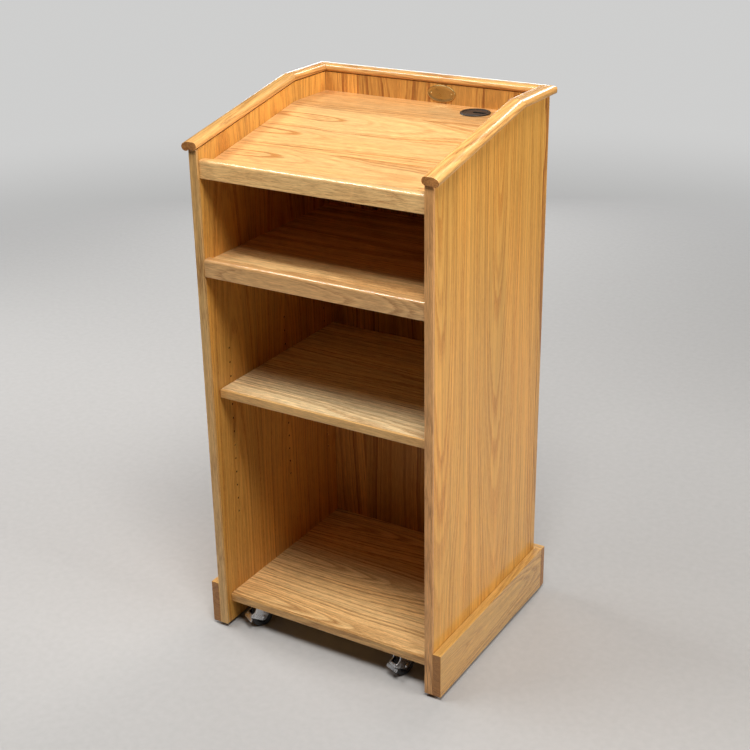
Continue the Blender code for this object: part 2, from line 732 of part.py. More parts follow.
def fork(with_lugs):
    """Pressed fork: a folded channel cut to the outline of its legs. Lugs carry a brake pedal's pin."""
    outer = FORK_HALF_WIDTH
    inner = outer - SHEET
    bend = 0.003
    foot = WHEEL_RADIUS / 2
    channel = [(-outer, foot)]
    channel += arc((-outer + bend, FORK_TOP - bend), bend, 180, 90, 2)
    channel += arc((outer - bend, FORK_TOP - bend), bend, 90, 0, 2)
    channel += [(outer, foot), (inner, foot)]
    channel += [(inner, FORK_TOP - SHEET), (-inner, FORK_TOP - SHEET), (-inner, foot)]
    folded = prism(channel, "X", -WHEEL_RADIUS, BRAKE_PIN_X + WHEEL_RADIUS)
    over = FORK_TOP + OVERCUT
    if with_lugs:
        legs = arc((TRAIL, WHEEL_RADIUS), 0.0080, 200, 300, 4)
        legs += arc((BRAKE_PIN_X, BRAKE_PIN_Z), LUG_RADIUS, -70, 70, 5)
        legs += [(0.0400, 0.0440), (0.0355, over)]
    else:
        legs = arc((TRAIL, WHEEL_RADIUS), 0.0080, 200, 350, 5)
        legs += [(0.0320, 0.0430), (0.0300, over)]
    legs += [(-0.0150, over), (-0.0150, 0.0480), (-0.0020, 0.0430)]
    shape = combined(folded, prism(legs, "Y", -2 * outer, 2 * outer), "INTERSECT")
    disc = turned(
        [
            (0, FORK_TOP - SHEET),
            (0.0175, FORK_TOP - SHEET),
            (0.0165, FORK_TOP),
            (0, FORK_TOP),
        ],
        CASTER_ROUND,
    )
    shape = combined(shape, disc, "UNION")
    shape = combined(shape, upright_drill(KINGPIN_RADIUS + GAP, 12), "DIFFERENCE")
    drills = [cross_drill(AXLE_RADIUS + GAP, TRAIL, WHEEL_RADIUS)]
    if with_lugs:
        drills.append(cross_drill(BRAKE_PIN_RADIUS + GAP, BRAKE_PIN_X, BRAKE_PIN_Z))
    return combined(shape, gathered(drills), "DIFFERENCE")


def headed_pin(radius, head_radius, half_grip):
    """A pin along Y with a low head on each end, for a hole across the fork."""
    end = half_grip + 0.0013
    return turned_along_y(
        [
            (0, -end),
            (head_radius * 0.8, -end),
            (head_radius, -half_grip),
            (radius, -half_grip),
            (radius, half_grip),
            (head_radius, half_grip),
            (head_radius * 0.8, end),
            (0, end),
        ],
        8,
    )


def wheel_parts():
    """Hub and tyre of a caster wheel, both turned about Y."""
    bore = AXLE_RADIUS + GAP
    rim = WHEEL_RIM_RADIUS
    inside = rim + GAP
    shoulder = WHEEL_RADIUS - 0.0028
    hub = turned_along_y(
        [
            (bore, -0.0090), (0.0062, -0.0090), (0.0080, -0.0056), (0.0150, -0.0076), (rim, -0.0076),
            (rim, 0.0076), (0.0150, 0.0076), (0.0080, 0.0056), (0.0062, 0.0090), (bore, 0.0090),
        ],
        CASTER_ROUND,
        closed=True,
    )
    tyre = turned_along_y(
        [
            (inside, -0.0076), (shoulder, -0.0080), (WHEEL_RADIUS, -0.0045),
            (WHEEL_RADIUS, 0.0045), (shoulder, 0.0080), (inside, 0.0076),
        ],
        TYRE_ROUND,
        closed=True,
    )
    return hub, tyre


def brake_pedal():
    """Pedal on its pin: a boss with a lobe for the tyre, and a wide pad with a toothed lower edge."""
    across = TRAIL - BRAKE_PIN_X
    above = WHEEL_RADIUS - BRAKE_PIN_Z
    lobe_reach = math.hypot(across, above) - WHEEL_RADIUS - GAP
    lobe_angle = math.degrees(math.atan2(above, across)) + PEDAL_PRESS
    boss_outline = arc((0, 0), PEDAL_BOSS_RADIUS, lobe_angle + 30, lobe_angle + 330, 10)
    boss_outline += arc((0, 0), lobe_reach, lobe_angle, lobe_angle, 1)[:1]
    neck = PEDAL_NECK_HALF_WIDTH
    boss = prism(boss_outline, "Y", -neck - 2 * GAP, neck + 2 * GAP)
    half = PEDAL_HALF_WIDTH
    shoulder = LUG_RADIUS + 0.0012
    valley = PEDAL_LENGTH - 0.0020
    pad_outline = [(0.0, -neck), (LUG_RADIUS + 0.0005, -neck), (shoulder, -half)]
    for tooth in range(PEDAL_TEETH):
        low = -half + 2 * half * tooth / PEDAL_TEETH
        pad_outline += [(valley, low), (PEDAL_LENGTH, low + half / PEDAL_TEETH)]
    pad_outline += [(valley, half), (shoulder, half), (LUG_RADIUS + 0.0005, neck), (0.0, neck)]
    pad = prism(pad_outline, "Z", 0.0004, 0.0022)
    pad = moved(pad, Matrix.Rotation(math.radians(PEDAL_DROP), 4, "Y"))
    pedal = combined(boss, pad, "UNION")
    return combined(pedal, cross_drill(BRAKE_PIN_RADIUS + GAP, 0, 0), "DIFFERENCE")


def casters(zinc, rubber, plastic):
    """Four casters; each swivels about its kingpin, and the front two have a brake pedal."""
    plate = caster_plate()
    rivet = kingpin()
    forks = {True: fork(True), False: fork(False)}
    grip = FORK_HALF_WIDTH + GAP
    axle = headed_pin(AXLE_RADIUS, 0.0050, grip)
    pin = headed_pin(BRAKE_PIN_RADIUS, 0.0030, grip)
    hub, tyre = wheel_parts()
    pedal = brake_pedal()
    for name, (side, depth, heading, has_pedal) in CASTERS.items():
        place = (side * CASTER_X, FRONT + depth, 0)
        add(name + "_plate", plate.copy(), zinc, place)
        add(name + "_kingpin", rivet.copy(), zinc, place)
        swivel = bpy.data.objects.new(name + "_swivel", None)
        swivel.location = place
        swivel.rotation_euler.z = math.radians(heading)
        bpy.context.scene.collection.objects.link(swivel)
        centre = (TRAIL, 0, WHEEL_RADIUS)
        add(name + "_fork", forks[has_pedal].copy(), zinc, parent=swivel)
        add(name + "_axle", axle.copy(), zinc, centre, parent=swivel)
        add(name + "_hub", hub.copy(), plastic, centre, parent=swivel)
        add(name + "_tyre", tyre.copy(), rubber, centre, parent=swivel)
        if has_pedal:
            pivot = (BRAKE_PIN_X, 0, BRAKE_PIN_Z)
            add(name + "_brake_pin", pin.copy(), zinc, pivot, parent=swivel)
            add(name + "_brake_pedal", pedal.copy(), zinc, pivot, parent=swivel)


# ---------------------------------------------------------------- the lectern

def build():
    """Make every piece of the lectern."""
    clear_scene()
    veneer = make_material("oak_veneer", (0.62, 0.36, 0.14), 0.42)
    solid = make_material("oak_solid", (0.58, 0.34, 0.15), 0.40)
    brass = make_material("aged_brass", (0.35, 0.26, 0.12), 0.38, 1.0)
    black = make_material("black_plastic", (0.03, 0.028, 0.026), 0.45)
    zinc = make_material("zinc_steel", (0.62, 0.63, 0.65), 0.33, 1.0)
    rubber = make_material("black_rubber", (0.03, 0.03, 0.03), 0.7)
    hub_plastic = make_material("wheel_plastic", (0.05, 0.05, 0.055), 0.5)

    side_panel("left", -1, veneer, solid)
    side_panel("right", 1, veneer, solid)
    rear_panel(veneer)
    writing_surface(veneer)
    shelves(veneer, solid)
    skirts(solid)
    cap_rail(solid)
    plaque(brass)
    grommet(black)
    shelf_pins(zinc)
    casters(zinc, rubber, hub_plastic)
    bpy.context.view_layer.update()


build()
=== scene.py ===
"""Looks of the presentation lectern: oak, brass, plastic and zinc, finely shaped trim, light and camera."""

import json
import math

import bmesh
import bpy
from mathutils import Matrix, Vector

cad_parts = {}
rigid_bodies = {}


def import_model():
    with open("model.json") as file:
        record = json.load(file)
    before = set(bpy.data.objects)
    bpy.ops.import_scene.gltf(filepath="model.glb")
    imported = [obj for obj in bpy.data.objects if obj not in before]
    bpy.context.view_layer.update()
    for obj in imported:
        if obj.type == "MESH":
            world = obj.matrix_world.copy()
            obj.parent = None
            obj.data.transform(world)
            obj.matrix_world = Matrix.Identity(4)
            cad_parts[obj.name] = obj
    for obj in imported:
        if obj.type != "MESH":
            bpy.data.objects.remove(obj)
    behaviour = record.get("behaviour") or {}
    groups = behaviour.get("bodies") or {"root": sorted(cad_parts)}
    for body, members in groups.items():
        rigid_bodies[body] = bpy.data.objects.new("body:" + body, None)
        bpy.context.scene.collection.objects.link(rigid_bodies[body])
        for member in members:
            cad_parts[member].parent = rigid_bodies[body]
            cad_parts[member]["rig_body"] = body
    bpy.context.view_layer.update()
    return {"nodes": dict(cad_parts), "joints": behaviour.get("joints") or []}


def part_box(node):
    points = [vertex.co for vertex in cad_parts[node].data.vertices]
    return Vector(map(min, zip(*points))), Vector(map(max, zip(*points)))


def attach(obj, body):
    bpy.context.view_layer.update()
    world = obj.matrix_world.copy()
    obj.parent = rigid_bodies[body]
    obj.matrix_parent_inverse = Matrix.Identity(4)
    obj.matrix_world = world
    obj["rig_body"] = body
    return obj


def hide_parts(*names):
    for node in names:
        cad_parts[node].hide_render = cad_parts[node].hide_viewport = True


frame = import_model()
NODES = frame["nodes"]

# ------ places read from the frame


def low_corner(node):
    """Lowest corner of a node's box."""
    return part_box(node)[0]


def high_corner(node):
    """Highest corner of a node's box."""
    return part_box(node)[1]


def middle(node):
    """Middle of a node's box."""
    return (low_corner(node) + high_corner(node)) / 2


HALF_WIDTH = high_corner("rear_panel").x
INNER_HALF = low_corner("right_panel").x
PLY = HALF_WIDTH - INNER_HALF
FRONT = low_corner("right_front_band").y
REAR_FACE = high_corner("rear_panel").y
PANEL_TOP = high_corner("rear_panel").z
LEDGE_TOP = high_corner("rear_ledge").z
BEND = low_corner("rear_ledge").y

# What the frame's boxes don't hold
GAP = 0.0003                # between pieces that meet
SLOPE = 0.197               # fall of the reading surface per metre forwards
SLOPE_ANGLE = math.atan(SLOPE)
RIM_BEND = BEND + (PANEL_TOP - LEDGE_TOP) * math.tan(SLOPE_ANGLE / 2)
CASTERS = ("front_left_caster", "front_right_caster", "rear_left_caster", "rear_right_caster")


# ------ node tools

class Graph:
    """Short calls that add shader nodes to a tree; every value can be a number or another node's socket."""

    def __init__(self, tree):
        self.tree = tree

    def add(self, kind, **settings):
        node = self.tree.nodes.new(kind)
        for name, value in settings.items():
            setattr(node, name, value)
        return node

    def feed(self, socket, value):
        if isinstance(value, bpy.types.NodeSocket):
            self.tree.links.new(value, socket)
        else:
            socket.default_value = value

    def math(self, operation, *values, clamp=False):
        node = self.add("ShaderNodeMath", operation=operation, use_clamp=clamp)
        for socket, value in zip(node.inputs, values):
            self.feed(socket, value)
        return node.outputs[0]

    def vector(self, operation, *values):
        node = self.add("ShaderNodeVectorMath", operation=operation)
        for socket, value in zip(node.inputs, values):
            self.feed(socket, value)
        return node.outputs["Value"] if operation == "DOT_PRODUCT" else node.outputs["Vector"]

    def combine(self, x, y, z):
        node = self.add("ShaderNodeCombineXYZ")
        for socket, value in zip(node.inputs, (x, y, z)):
            self.feed(socket, value)
        return node.outputs[0]

    def separate(self, vector):
        node = self.add("ShaderNodeSeparateXYZ")
        self.feed(node.inputs[0], vector)
        return node.outputs[:3]

    def noise(self, vector, scale=1.0, detail=2.0, roughness=0.5):
        node = self.add("ShaderNodeTexNoise")
        self.feed(node.inputs["Vector"], vector)
        node.inputs["Scale"].default_value = scale
        node.inputs["Detail"].default_value = detail
        node.inputs["Roughness"].default_value = roughness
        return node.outputs["Fac"]

    def times(self, first, second, clamp=False):
        return self.math("MULTIPLY", first, second, clamp=clamp)

    def swing(self, vector, amount):
        """Noise that swings about zero, times an amount."""
        return self.times(self.math("SUBTRACT", self.noise(vector), 0.5), amount)

    def vary(self, value, strength, base=1.0, clamp=False):
        """A base value that another one, from 0 to 1, moves down or up by half the strength."""
        return self.math("MULTIPLY_ADD", self.math("SUBTRACT", value, 0.5), strength, base, clamp=clamp)

    def cells(self, place, uneven, feature="F1"):
        """One-dimensional cells along a value; uneven makes their widths differ."""
        node = self.add("ShaderNodeTexVoronoi", voronoi_dimensions="1D", feature=feature)
        self.feed(node.inputs["W"], place)
        node.inputs["Scale"].default_value = 1.0
        self.feed(node.inputs["Randomness"], uneven)
        return node.outputs

    def random(self, value, seed):
        node = self.add("ShaderNodeTexWhiteNoise", noise_dimensions="2D")
        self.feed(node.inputs["Vector"], self.combine(value, seed, 0.0))
        return node.outputs["Value"]

    def ramp(self, value, low, high, out_low=0.0, out_high=1.0):
        node = self.add("ShaderNodeMapRange", interpolation_type="SMOOTHSTEP")
        numbers = {"Value": value, "From Min": low, "From Max": high, "To Min": out_low, "To Max": out_high}
        for name, number in numbers.items():
            self.feed(node.inputs[name], number)
        return node.outputs[0]

    def mix(self, factor, first, second, blend="MIX"):
        node = self.add("ShaderNodeMix", data_type="RGBA", blend_type=blend)
        self.feed(node.inputs[0], factor)
        for socket, value in ((node.inputs[6], first), (node.inputs[7], second)):
            self.feed(socket, value if isinstance(value, bpy.types.NodeSocket) else (*value, 1.0))
        return node.outputs[2]

    def tinted(self, factor, colour, tint):
        """A colour that turns towards its product with a tint."""
        return self.mix(factor, colour, self.mix(1.0, colour, tint, "MULTIPLY"))

    def scaled(self, colour, amount):
        """A colour times a value."""
        return self.mix(1.0, colour, self.combine(amount, amount, amount), "MULTIPLY")

    def bump(self, height, distance, strength):
        node = self.add("ShaderNodeBump")
        self.feed(node.inputs["Height"], height)
        node.inputs["Distance"].default_value = distance
        node.inputs["Strength"].default_value = strength
        return node.outputs["Normal"]


def new_material(name):
    """Empty node material: the material, its graph and its Principled shader."""
    material = bpy.data.materials.new(name)
    material.use_nodes = True
    shader = material.node_tree.nodes["Principled BSDF"]
    return material, Graph(material.node_tree), shader


def dress(obj, material):
    """Give an object one material and nothing else."""
    obj.data.materials.clear()
    obj.data.materials.append(material)


# ------ oak

# name: value that the oak group takes where a board says nothing else; lengths in metres
FIGURE = {
    "Heart": 0.03,      # distance from the middle of the board to the heart line of the log
    "Taper": 0.05,      # how fast that distance grows along the grain
    "Spread": 0.03,     # how far the heart line's place across the leaf differs from leaf to leaf
    "Ring": 0.006,      # mean width of a growth ring
    "Leaf": 2.0,        # width of a leaf of veneer
    "Shift": 0.0,       # moves the leaves sideways, in leaf widths
    "Uneven": 0.0,      # how much the widths of the leaves differ
    "Wander": 0.012,    # slow sideways sway of the grain
    "Rise": 0.008,      # slow change of depth of the heart line
    "Feather": 0.0035,  # torn edge of the rings along the grain
    "Contrast": 0.7,    # darkness of the early wood
    "Pores": 0.7,       # darkness of the open pores
    "Fibre": 1.0,       # strength of the short fine flecks
    "Streak": 0.9,      # strength of the long straight streaks
    "Tones": 0.16,      # difference of tone between leaves
    "Seed": 0.0,        # place in the log, a whole number
    "End": 0.0,         # 1 on end grain
    "Edge": 0.0,        # 1 on worn edges
    "Bore_shade": 0.0,        # 1 inside the holes, whose bare wood gets painted shade
    "Joint_shade": 0.0,       # 1 along a joint: painted shade of the gap, where finish has also gathered
}
PORE_COLOUR = (0.27, 0.100, 0.022)
WARM_TINT = (1.03, 0.98, 0.92)
WORN_TINT = (1.16, 1.20, 1.28)
END_TINT = (0.60, 0.47, 0.40)
# Painted shade inside the holes, over their bare wood
BORE_SHADE_TINT = (0.16, 0.12, 0.10)
SEAM_HALF_WIDTH = 0.0006
JOINT_SHADE_WIDTH = 0.0026        # of the painted dark line, shade of the gap and some gathered finish, where a side panel meets the rear panel
BORE_SHADE_MARGIN = 0.0006        # how far below a panel's face the painted shade in its holes begins
WEAR_RADIUS = 0.0022        # how far from an edge the finish is worn

# Cells of each noise in a metre, across the grain and along it
SWAY_CELLS = (3.0, 1.7)
BROAD_CELLS = (7.0, 1.5)
STREAK_CELLS = (125.0, 1.4)
FEATHER_CELLS = (560.0, 11.0)
DASH_CELLS = (560.0, 60.0)
FIBRE_CELLS = (760.0, 40.0)
STROKE_CELLS = (1500.0, 90.0)


def stretched(g, grain, across, along):
    """Coordinates for a texture that is long along the grain: cells per metre across and along it."""
    scales = (across, along, across)
    return g.combine(*(g.times(value, scale) for value, scale in zip(grain, scales)))


def oak_group():
    """Oak as a solid: growth rings round a heart line, pores and fibres along the grain, leaves of veneer."""
    group = bpy.data.node_groups.new("oak_figure", "ShaderNodeTree")
    new_socket = group.interface.new_socket
    for name, default in FIGURE.items():
        new_socket(name, in_out="INPUT", socket_type="NodeSocketFloat").default_value = default
    for name in ("Light", "Dark"):
        new_socket(name, in_out="INPUT", socket_type="NodeSocketColor")
    new_socket("Grain", in_out="INPUT", socket_type="NodeSocketVector")
    new_socket("Color", in_out="OUTPUT", socket_type="NodeSocketColor")
    for name in ("Roughness", "Height"):
        new_socket(name, in_out="OUTPUT", socket_type="NodeSocketFloat")

    g = Graph(group)
    given = g.add("NodeGroupInput").outputs
    across, along, depth = g.separate(given["Grain"])
    seed = given["Seed"]

    # Leaves of veneer, each from another place in the log
    place = g.math("ADD", g.math("DIVIDE", across, given["Leaf"]), given["Shift"])
    place = g.math("MULTIPLY_ADD", seed, 10.0, place)
    leaf = g.cells(place, given["Uneven"])
    chance, chance_two, chance_three = g.separate(leaf["Color"])
    local = g.times(g.math("SUBTRACT", place, leaf["W"]), given["Leaf"])
    length = g.math("ADD", along, g.math("MULTIPLY_ADD", chance, 2.3, g.times(seed, 0.71)))
    grain = (across, length, depth)
    edge = g.cells(place, given["Uneven"], "DISTANCE_TO_EDGE")["Distance"]
    seam = g.math("LESS_THAN", g.times(edge, given["Leaf"]), SEAM_HALF_WIDTH)

    # Distance from the heart line, in growth rings of uneven width
    sway = g.swing(stretched(g, (local, length, depth), *SWAY_CELLS), 2.0)
    rise = g.swing(g.combine(7.7, g.times(length, 2.6), seed), 2.0)
    side = g.math("ADD", local, g.times(sway, given["Wander"]))
    side = g.vary(chance_two, given["Spread"], side)
    height = g.math("ADD", g.math("MULTIPLY_ADD", along, given["Taper"], given["Heart"]), depth)
    height = g.math("ADD", height, g.times(rise, given["Rise"]))
    radius = g.math("SQRT", g.math("MULTIPLY_ADD", side, side, g.times(height, height)))
    feather = g.swing(stretched(g, grain, *FEATHER_CELLS), 2.0)
    rings = g.math("DIVIDE", g.math("MULTIPLY_ADD", feather, given["Feather"], radius), given["Ring"])
    rings = g.math("ADD", rings, g.swing(g.combine(g.times(radius, 60.0), seed, 3.3), 3.0))
    ring = g.math("FLOOR", rings)
    phase = g.math("SUBTRACT", rings, ring)
    strength = g.math("MULTIPLY_ADD", g.random(ring, seed), 0.85, 0.15)
    early = g.times(g.ramp(phase, 0.0, 0.14), g.ramp(phase, 0.20, 0.85, 1.0, 0.0))
    early = g.times(early, strength)

    # Pores are short open strokes along the grain, most of them in the early wood
    stroke = g.ramp(g.noise(stretched(g, grain, *STROKE_CELLS), detail=1.0), 0.53, 0.62)
    dash = g.ramp(g.noise(stretched(g, grain, *DASH_CELLS), detail=1.0), 0.56, 0.66)
    pores = g.times(g.math("MAXIMUM", stroke, dash), g.math("MULTIPLY_ADD", early, 0.9, 0.16))
    pores = g.times(pores, given["Pores"], clamp=True)

    # Short flecks, long straight streaks, slow changes of tone and the difference between leaves
    fibre = g.noise(stretched(g, grain, *FIBRE_CELLS), detail=3.0, roughness=0.6)
    streak = g.noise(stretched(g, grain, *STREAK_CELLS), detail=4.0, roughness=0.72)
    broad = g.noise(stretched(g, (local, length, depth), *BROAD_CELLS))
    shade = g.vary(fibre, given["Fibre"])
    for value, strength in ((streak, given["Streak"]), (broad, 0.22), (chance_three, given["Tones"])):
        shade = g.times(shade, g.vary(value, strength))

    colour = g.mix(g.times(early, given["Contrast"], clamp=True), given["Light"], given["Dark"])
    colour = g.scaled(colour, shade)
    colour = g.mix(g.times(pores, 0.72), colour, PORE_COLOUR)
    colour = g.tinted(g.ramp(broad, 0.42, 0.62), colour, WARM_TINT)
    colour = g.mix(g.times(seam, 0.45), colour, PORE_COLOUR)

    # Worn edges are paler and end grain is darker; painted shade darkens the joints, where finish has also
    # gathered, and the inside of the holes
    colour = g.tinted(given["Edge"], colour, WORN_TINT)
    colour = g.mix(g.times(given["Joint_shade"], 0.75), colour, PORE_COLOUR)
    colour = g.tinted(given["Bore_shade"], colour, BORE_SHADE_TINT)
    end = g.math("POWER", given["End"], 4.0)
    colour = g.tinted(end, colour, END_TINT)

    roughness = g.vary(fibre, 0.16, g.math("MULTIPLY_ADD", pores, 0.25, 0.34))
    bare = g.math("MAXIMUM", end, g.times(given["Edge"], 0.5))
    roughness = g.math("MULTIPLY_ADD", bare, 0.18, roughness)
    relief = g.math("MULTIPLY_ADD", pores, -1.0, g.times(fibre, 0.30))
    relief = g.math("MULTIPLY_ADD", early, -0.12, relief)
    relief = g.math("MULTIPLY_ADD", seam, -0.4, relief)
    out = g.add("NodeGroupOutput").inputs
    g.feed(out["Color"], colour)
    g.feed(out["Roughness"], roughness)
    g.feed(out["Height"], relief)
    return group


OAK = oak_group()

# Which of the lectern's axes run across the grain, along it and into the board
GRAIN_AXES = {
    "side": "yzx",
    "upright": "xzy",
    "board": "yxz",
    "strip": "zxy",
    "side_strip": "zyx",
    "rail": "xyz",
}
SLOPING = ("reading_surface", "left_slope_cap", "right_slope_cap")
BORED = ("left_panel", "right_panel")


def oak(node, axes, colours, seed, coat=0.3, **figure):
    """Lacquered oak for one node, with its own direction of the grain and its own place in the log."""
    material, g, shader = new_material("oak_" + node)
    coords = g.add("ShaderNodeTexCoord").outputs
    position = g.vector("SUBTRACT", coords["Object"], tuple(middle(node)))
    if node in SLOPING:
        level = g.add("ShaderNodeMapping", vector_type="POINT")
        level.inputs["Rotation"].default_value = (-SLOPE_ANGLE, 0.0, 0.0)
        g.feed(level.inputs["Vector"], position)
        position = level.outputs[0]
    parts = dict(zip("xyz", g.separate(position)))
    across, along, depth = (parts[letter] for letter in GRAIN_AXES[axes])
    facing = dict(zip("xyz", g.separate(coords["Normal"])))[GRAIN_AXES[axes][1]]

    rounded = g.add("ShaderNodeBevel", samples=4)
    rounded.inputs["Radius"].default_value = WEAR_RADIUS
    flat = g.add("ShaderNodeNewGeometry").outputs["True Normal"]
    agreement = g.vector("DOT_PRODUCT", rounded.outputs[0], flat)
    rubbed = g.noise(coords["Object"], 38.0, 3.0, 0.6)
    wear = g.times(g.ramp(agreement, 0.995, 0.90), g.ramp(rubbed, 0.36, 0.62, 0.15, 0.8))

    wood = g.add("ShaderNodeGroup", node_tree=OAK)
    g.feed(wood.inputs["Grain"], g.combine(across, along, depth))
    g.feed(wood.inputs["End"], g.math("ABSOLUTE", facing))
    g.feed(wood.inputs["Edge"], wear)
    for socket, colour in zip(("Light", "Dark"), colours):
        wood.inputs[socket].default_value = (*colour, 1.0)
    wood.inputs["Seed"].default_value = seed
    # Painted shade inside the pin holes
    if node in BORED:
        inside = g.math("LESS_THAN", g.math("ABSOLUTE", depth), 0.5 * PLY - BORE_SHADE_MARGIN)
        g.feed(wood.inputs["Bore_shade"], inside)
        # Painted shade of the gap along the joint with the rear panel, with some gathered finish
        half_width = 0.5 * (high_corner(node).y - low_corner(node).y)
        g.feed(wood.inputs["Joint_shade"], g.ramp(across, half_width - JOINT_SHADE_WIDTH, half_width - 0.5 * JOINT_SHADE_WIDTH))
    for key, value in figure.items():
        wood.inputs[key.capitalize()].default_value = value
    g.feed(shader.inputs["Base Color"], wood.outputs["Color"])
    g.feed(shader.inputs["Roughness"], wood.outputs["Roughness"])
    g.feed(shader.inputs["Normal"], g.bump(wood.outputs["Height"], 0.00022, 0.55))
    shader.inputs["Specular IOR Level"].default_value = 0.3
    shader.inputs["Coat Weight"].default_value = coat
    shader.inputs["Coat Roughness"].default_value = 0.10
    shader.inputs["Coat IOR"].default_value = 1.5
    return material


# Colours of the late wood and of the early wood
HONEY = ((0.75, 0.385, 0.085), (0.55, 0.210, 0.032))
PEACH = ((0.77, 0.440, 0.178), (0.48, 0.205, 0.050))
BLOND = ((0.88, 0.580, 0.260), (0.50, 0.245, 0.078))
# Paler oak for the adjustable shelf, brightened as painted light and painted sheen of its lacquer
PALE_WITH_PAINTED_LIGHT = ((0.93, 0.715, 0.400), (0.60, 0.345, 0.142))
AMBER = ((0.62, 0.315, 0.075), (0.33, 0.125, 0.027))
STRAW = ((0.90, 0.585, 0.255), (0.62, 0.315, 0.110))
ROSE = ((0.77, 0.445, 0.182), (0.44, 0.205, 0.068))
UMBER = ((0.74, 0.380, 0.140), (0.27, 0.105, 0.031))
TAN = ((0.72, 0.430, 0.160), (0.40, 0.190, 0.055))
GOLD = ((0.66, 0.370, 0.105), (0.38, 0.175, 0.042))
CAP = ((0.78, 0.430, 0.140), (0.46, 0.195, 0.048))


def cabinet_finish():
    """Oak for every board, each cut from its own place in the log: node name, material."""
    rail = dict(heart=0.02, ring=0.0050, contrast=0.9, streak=1.5, coat=0.7)
    skirt = dict(heart=0.02, taper=0.11, ring=0.0085, wander=0.03, coat=0.5)
    boards = {
        "right_panel": ("side", HONEY, 3, dict(
            leaf=0.243, shift=-0.12, heart=0.035, taper=-0.070, ring=0.0085, contrast=0.75,
            spread=0.05, wander=0.02, streak=1.1, fibre=0.5, pores=0.45)),
        "left_panel": ("side", HONEY, 8, dict(
            leaf=0.20, shift=-0.15, heart=0.022, taper=0.075, ring=0.0075, contrast=0.8,
            spread=0.04, wander=0.02, fibre=0.5)),
        "rear_panel": ("upright", AMBER, 5, dict(
            leaf=0.15, uneven=0.8, heart=0.022, taper=0.035, ring=0.0100, contrast=1.0,
            spread=0.06, wander=0.045, rise=0.03, tones=0.3, streak=0.7)),
        "reading_surface": ("board", PEACH, 11, dict(
            leaf=0.098, heart=0.012, taper=0.09, ring=0.0085, contrast=1.0, spread=0.05,
            wander=0.05, rise=0.030, tones=0.30, streak=0.7, fibre=1.3, pores=0.5)),
        "rear_ledge": ("board", PEACH, 12, dict(
            leaf=0.16, heart=0.02, taper=0.06, contrast=1.0, streak=1.0, fibre=1.5, pores=0.4)),
        "upper_shelf": ("board", BLOND, 21, dict(
            leaf=0.2, heart=0.09, taper=0.02, ring=0.0055, streak=1.5, fibre=1.5)),
        # Painted light and painted sheen in its paler colours
        "adjustable_shelf": ("board", PALE_WITH_PAINTED_LIGHT, 33, dict(
            leaf=0.21, heart=0.06, taper=0.03, streak=1.5, fibre=1.5)),
        "bottom_shelf": ("board", BLOND, 41, dict(
            leaf=0.19, shift=0.1, heart=0.012, taper=0.10, ring=0.0095, contrast=0.8,
            wander=0.03, rise=0.016, fibre=1.2)),
        "left_front_band": ("upright", TAN, 51, dict(heart=0.15, taper=0.02, ring=0.0030)),
        "right_front_band": ("upright", UMBER, 54, dict(
            heart=0.05, taper=0.03, ring=0.0040, contrast=1.0, wander=0.02)),
        "bottom_shelf_band": ("strip", TAN, 57, dict(heart=0.06, taper=0.04, ring=0.0045)),
        "adjustable_shelf_band": ("strip", TAN, 61, dict(heart=0.08, taper=0.03, ring=0.0040)),
        "upper_shelf_nosing": ("strip", ROSE, 64, dict(
            heart=0.02, taper=0.14, ring=0.0070, contrast=0.6, streak=0.6, wander=0.02, coat=1.0)),
        "book_stop": ("strip", STRAW, 67, dict(
            heart=0.05, taper=0.04, ring=0.0034, contrast=0.5, streak=0.5, rise=0.01, coat=1.0)),
        "left_skirt": ("side_strip", GOLD, 71, skirt),
        "right_skirt": ("side_strip", GOLD, 74, skirt),
        "rear_skirt": ("strip", GOLD, 77, skirt),
        "left_slope_cap": ("rail", CAP, 81, rail),
        "left_level_cap": ("rail", CAP, 84, rail),
        "rear_cap": ("board", CAP, 87, rail),
        "right_level_cap": ("rail", CAP, 91, rail),
        "right_slope_cap": ("rail", CAP, 94, rail),
    }
    return {node: oak(node, *grain, **figure) for node, (*grain, figure) in boards.items()}


# ------ other materials

def plain_material(name, colour, roughness, metallic=0.0, grain=400.0, variation=0.2, bump=0.0001):
    """Surface with a fine grain: the colour, the roughness and the relief all vary a little."""
    material, g, shader = new_material(name)
    position = g.add("ShaderNodeTexCoord").outputs["Object"]
    fine = g.noise(position, grain, 3.0, 0.6)
    broad = g.noise(position, grain / 14.0, 3.0, 0.55)
    amount = g.vary(fine, variation, g.vary(broad, variation * 2.0))
    g.feed(shader.inputs["Base Color"], g.scaled(colour, amount))
    rough = g.vary(broad, 0.25, g.vary(fine, 0.22, roughness), clamp=True)
    g.feed(shader.inputs["Roughness"], rough)
    g.feed(shader.inputs["Normal"], g.bump(fine, bump, 0.5))
    shader.inputs["Metallic"].default_value = metallic
    return material


ZINC = plain_material("zinc_plate", (0.70, 0.71, 0.73), 0.28, 1.0, grain=500.0, variation=0.16)
RUBBER = plain_material("caster_rubber", (0.024, 0.024, 0.025), 0.62, grain=900.0, variation=0.3)
HUB_PLASTIC = plain_material("caster_hub_plastic", (0.045, 0.045, 0.048), 0.45, grain=700.0)
BLACK_PLASTIC = plain_material("grommet_plastic", (0.030, 0.027, 0.025), 0.42, grain=1500.0, variation=0.25)
BRASS = plain_material("aged_brass", (0.56, 0.42, 0.19), 0.33, 1.0, grain=600.0, variation=0.35)


# ------ mesh tools

def mesh_from(verts, faces):
    """Mesh of one closed solid, with its faces turned outwards."""
    mesh = bpy.data.meshes.new("solid")
    mesh.from_pydata(verts, [], faces)
    shape = bmesh.new()
    shape.from_mesh(mesh)
    bmesh.ops.recalc_face_normals(shape, faces=shape.faces)
    shape.to_mesh(mesh)
    shape.free()
    return mesh


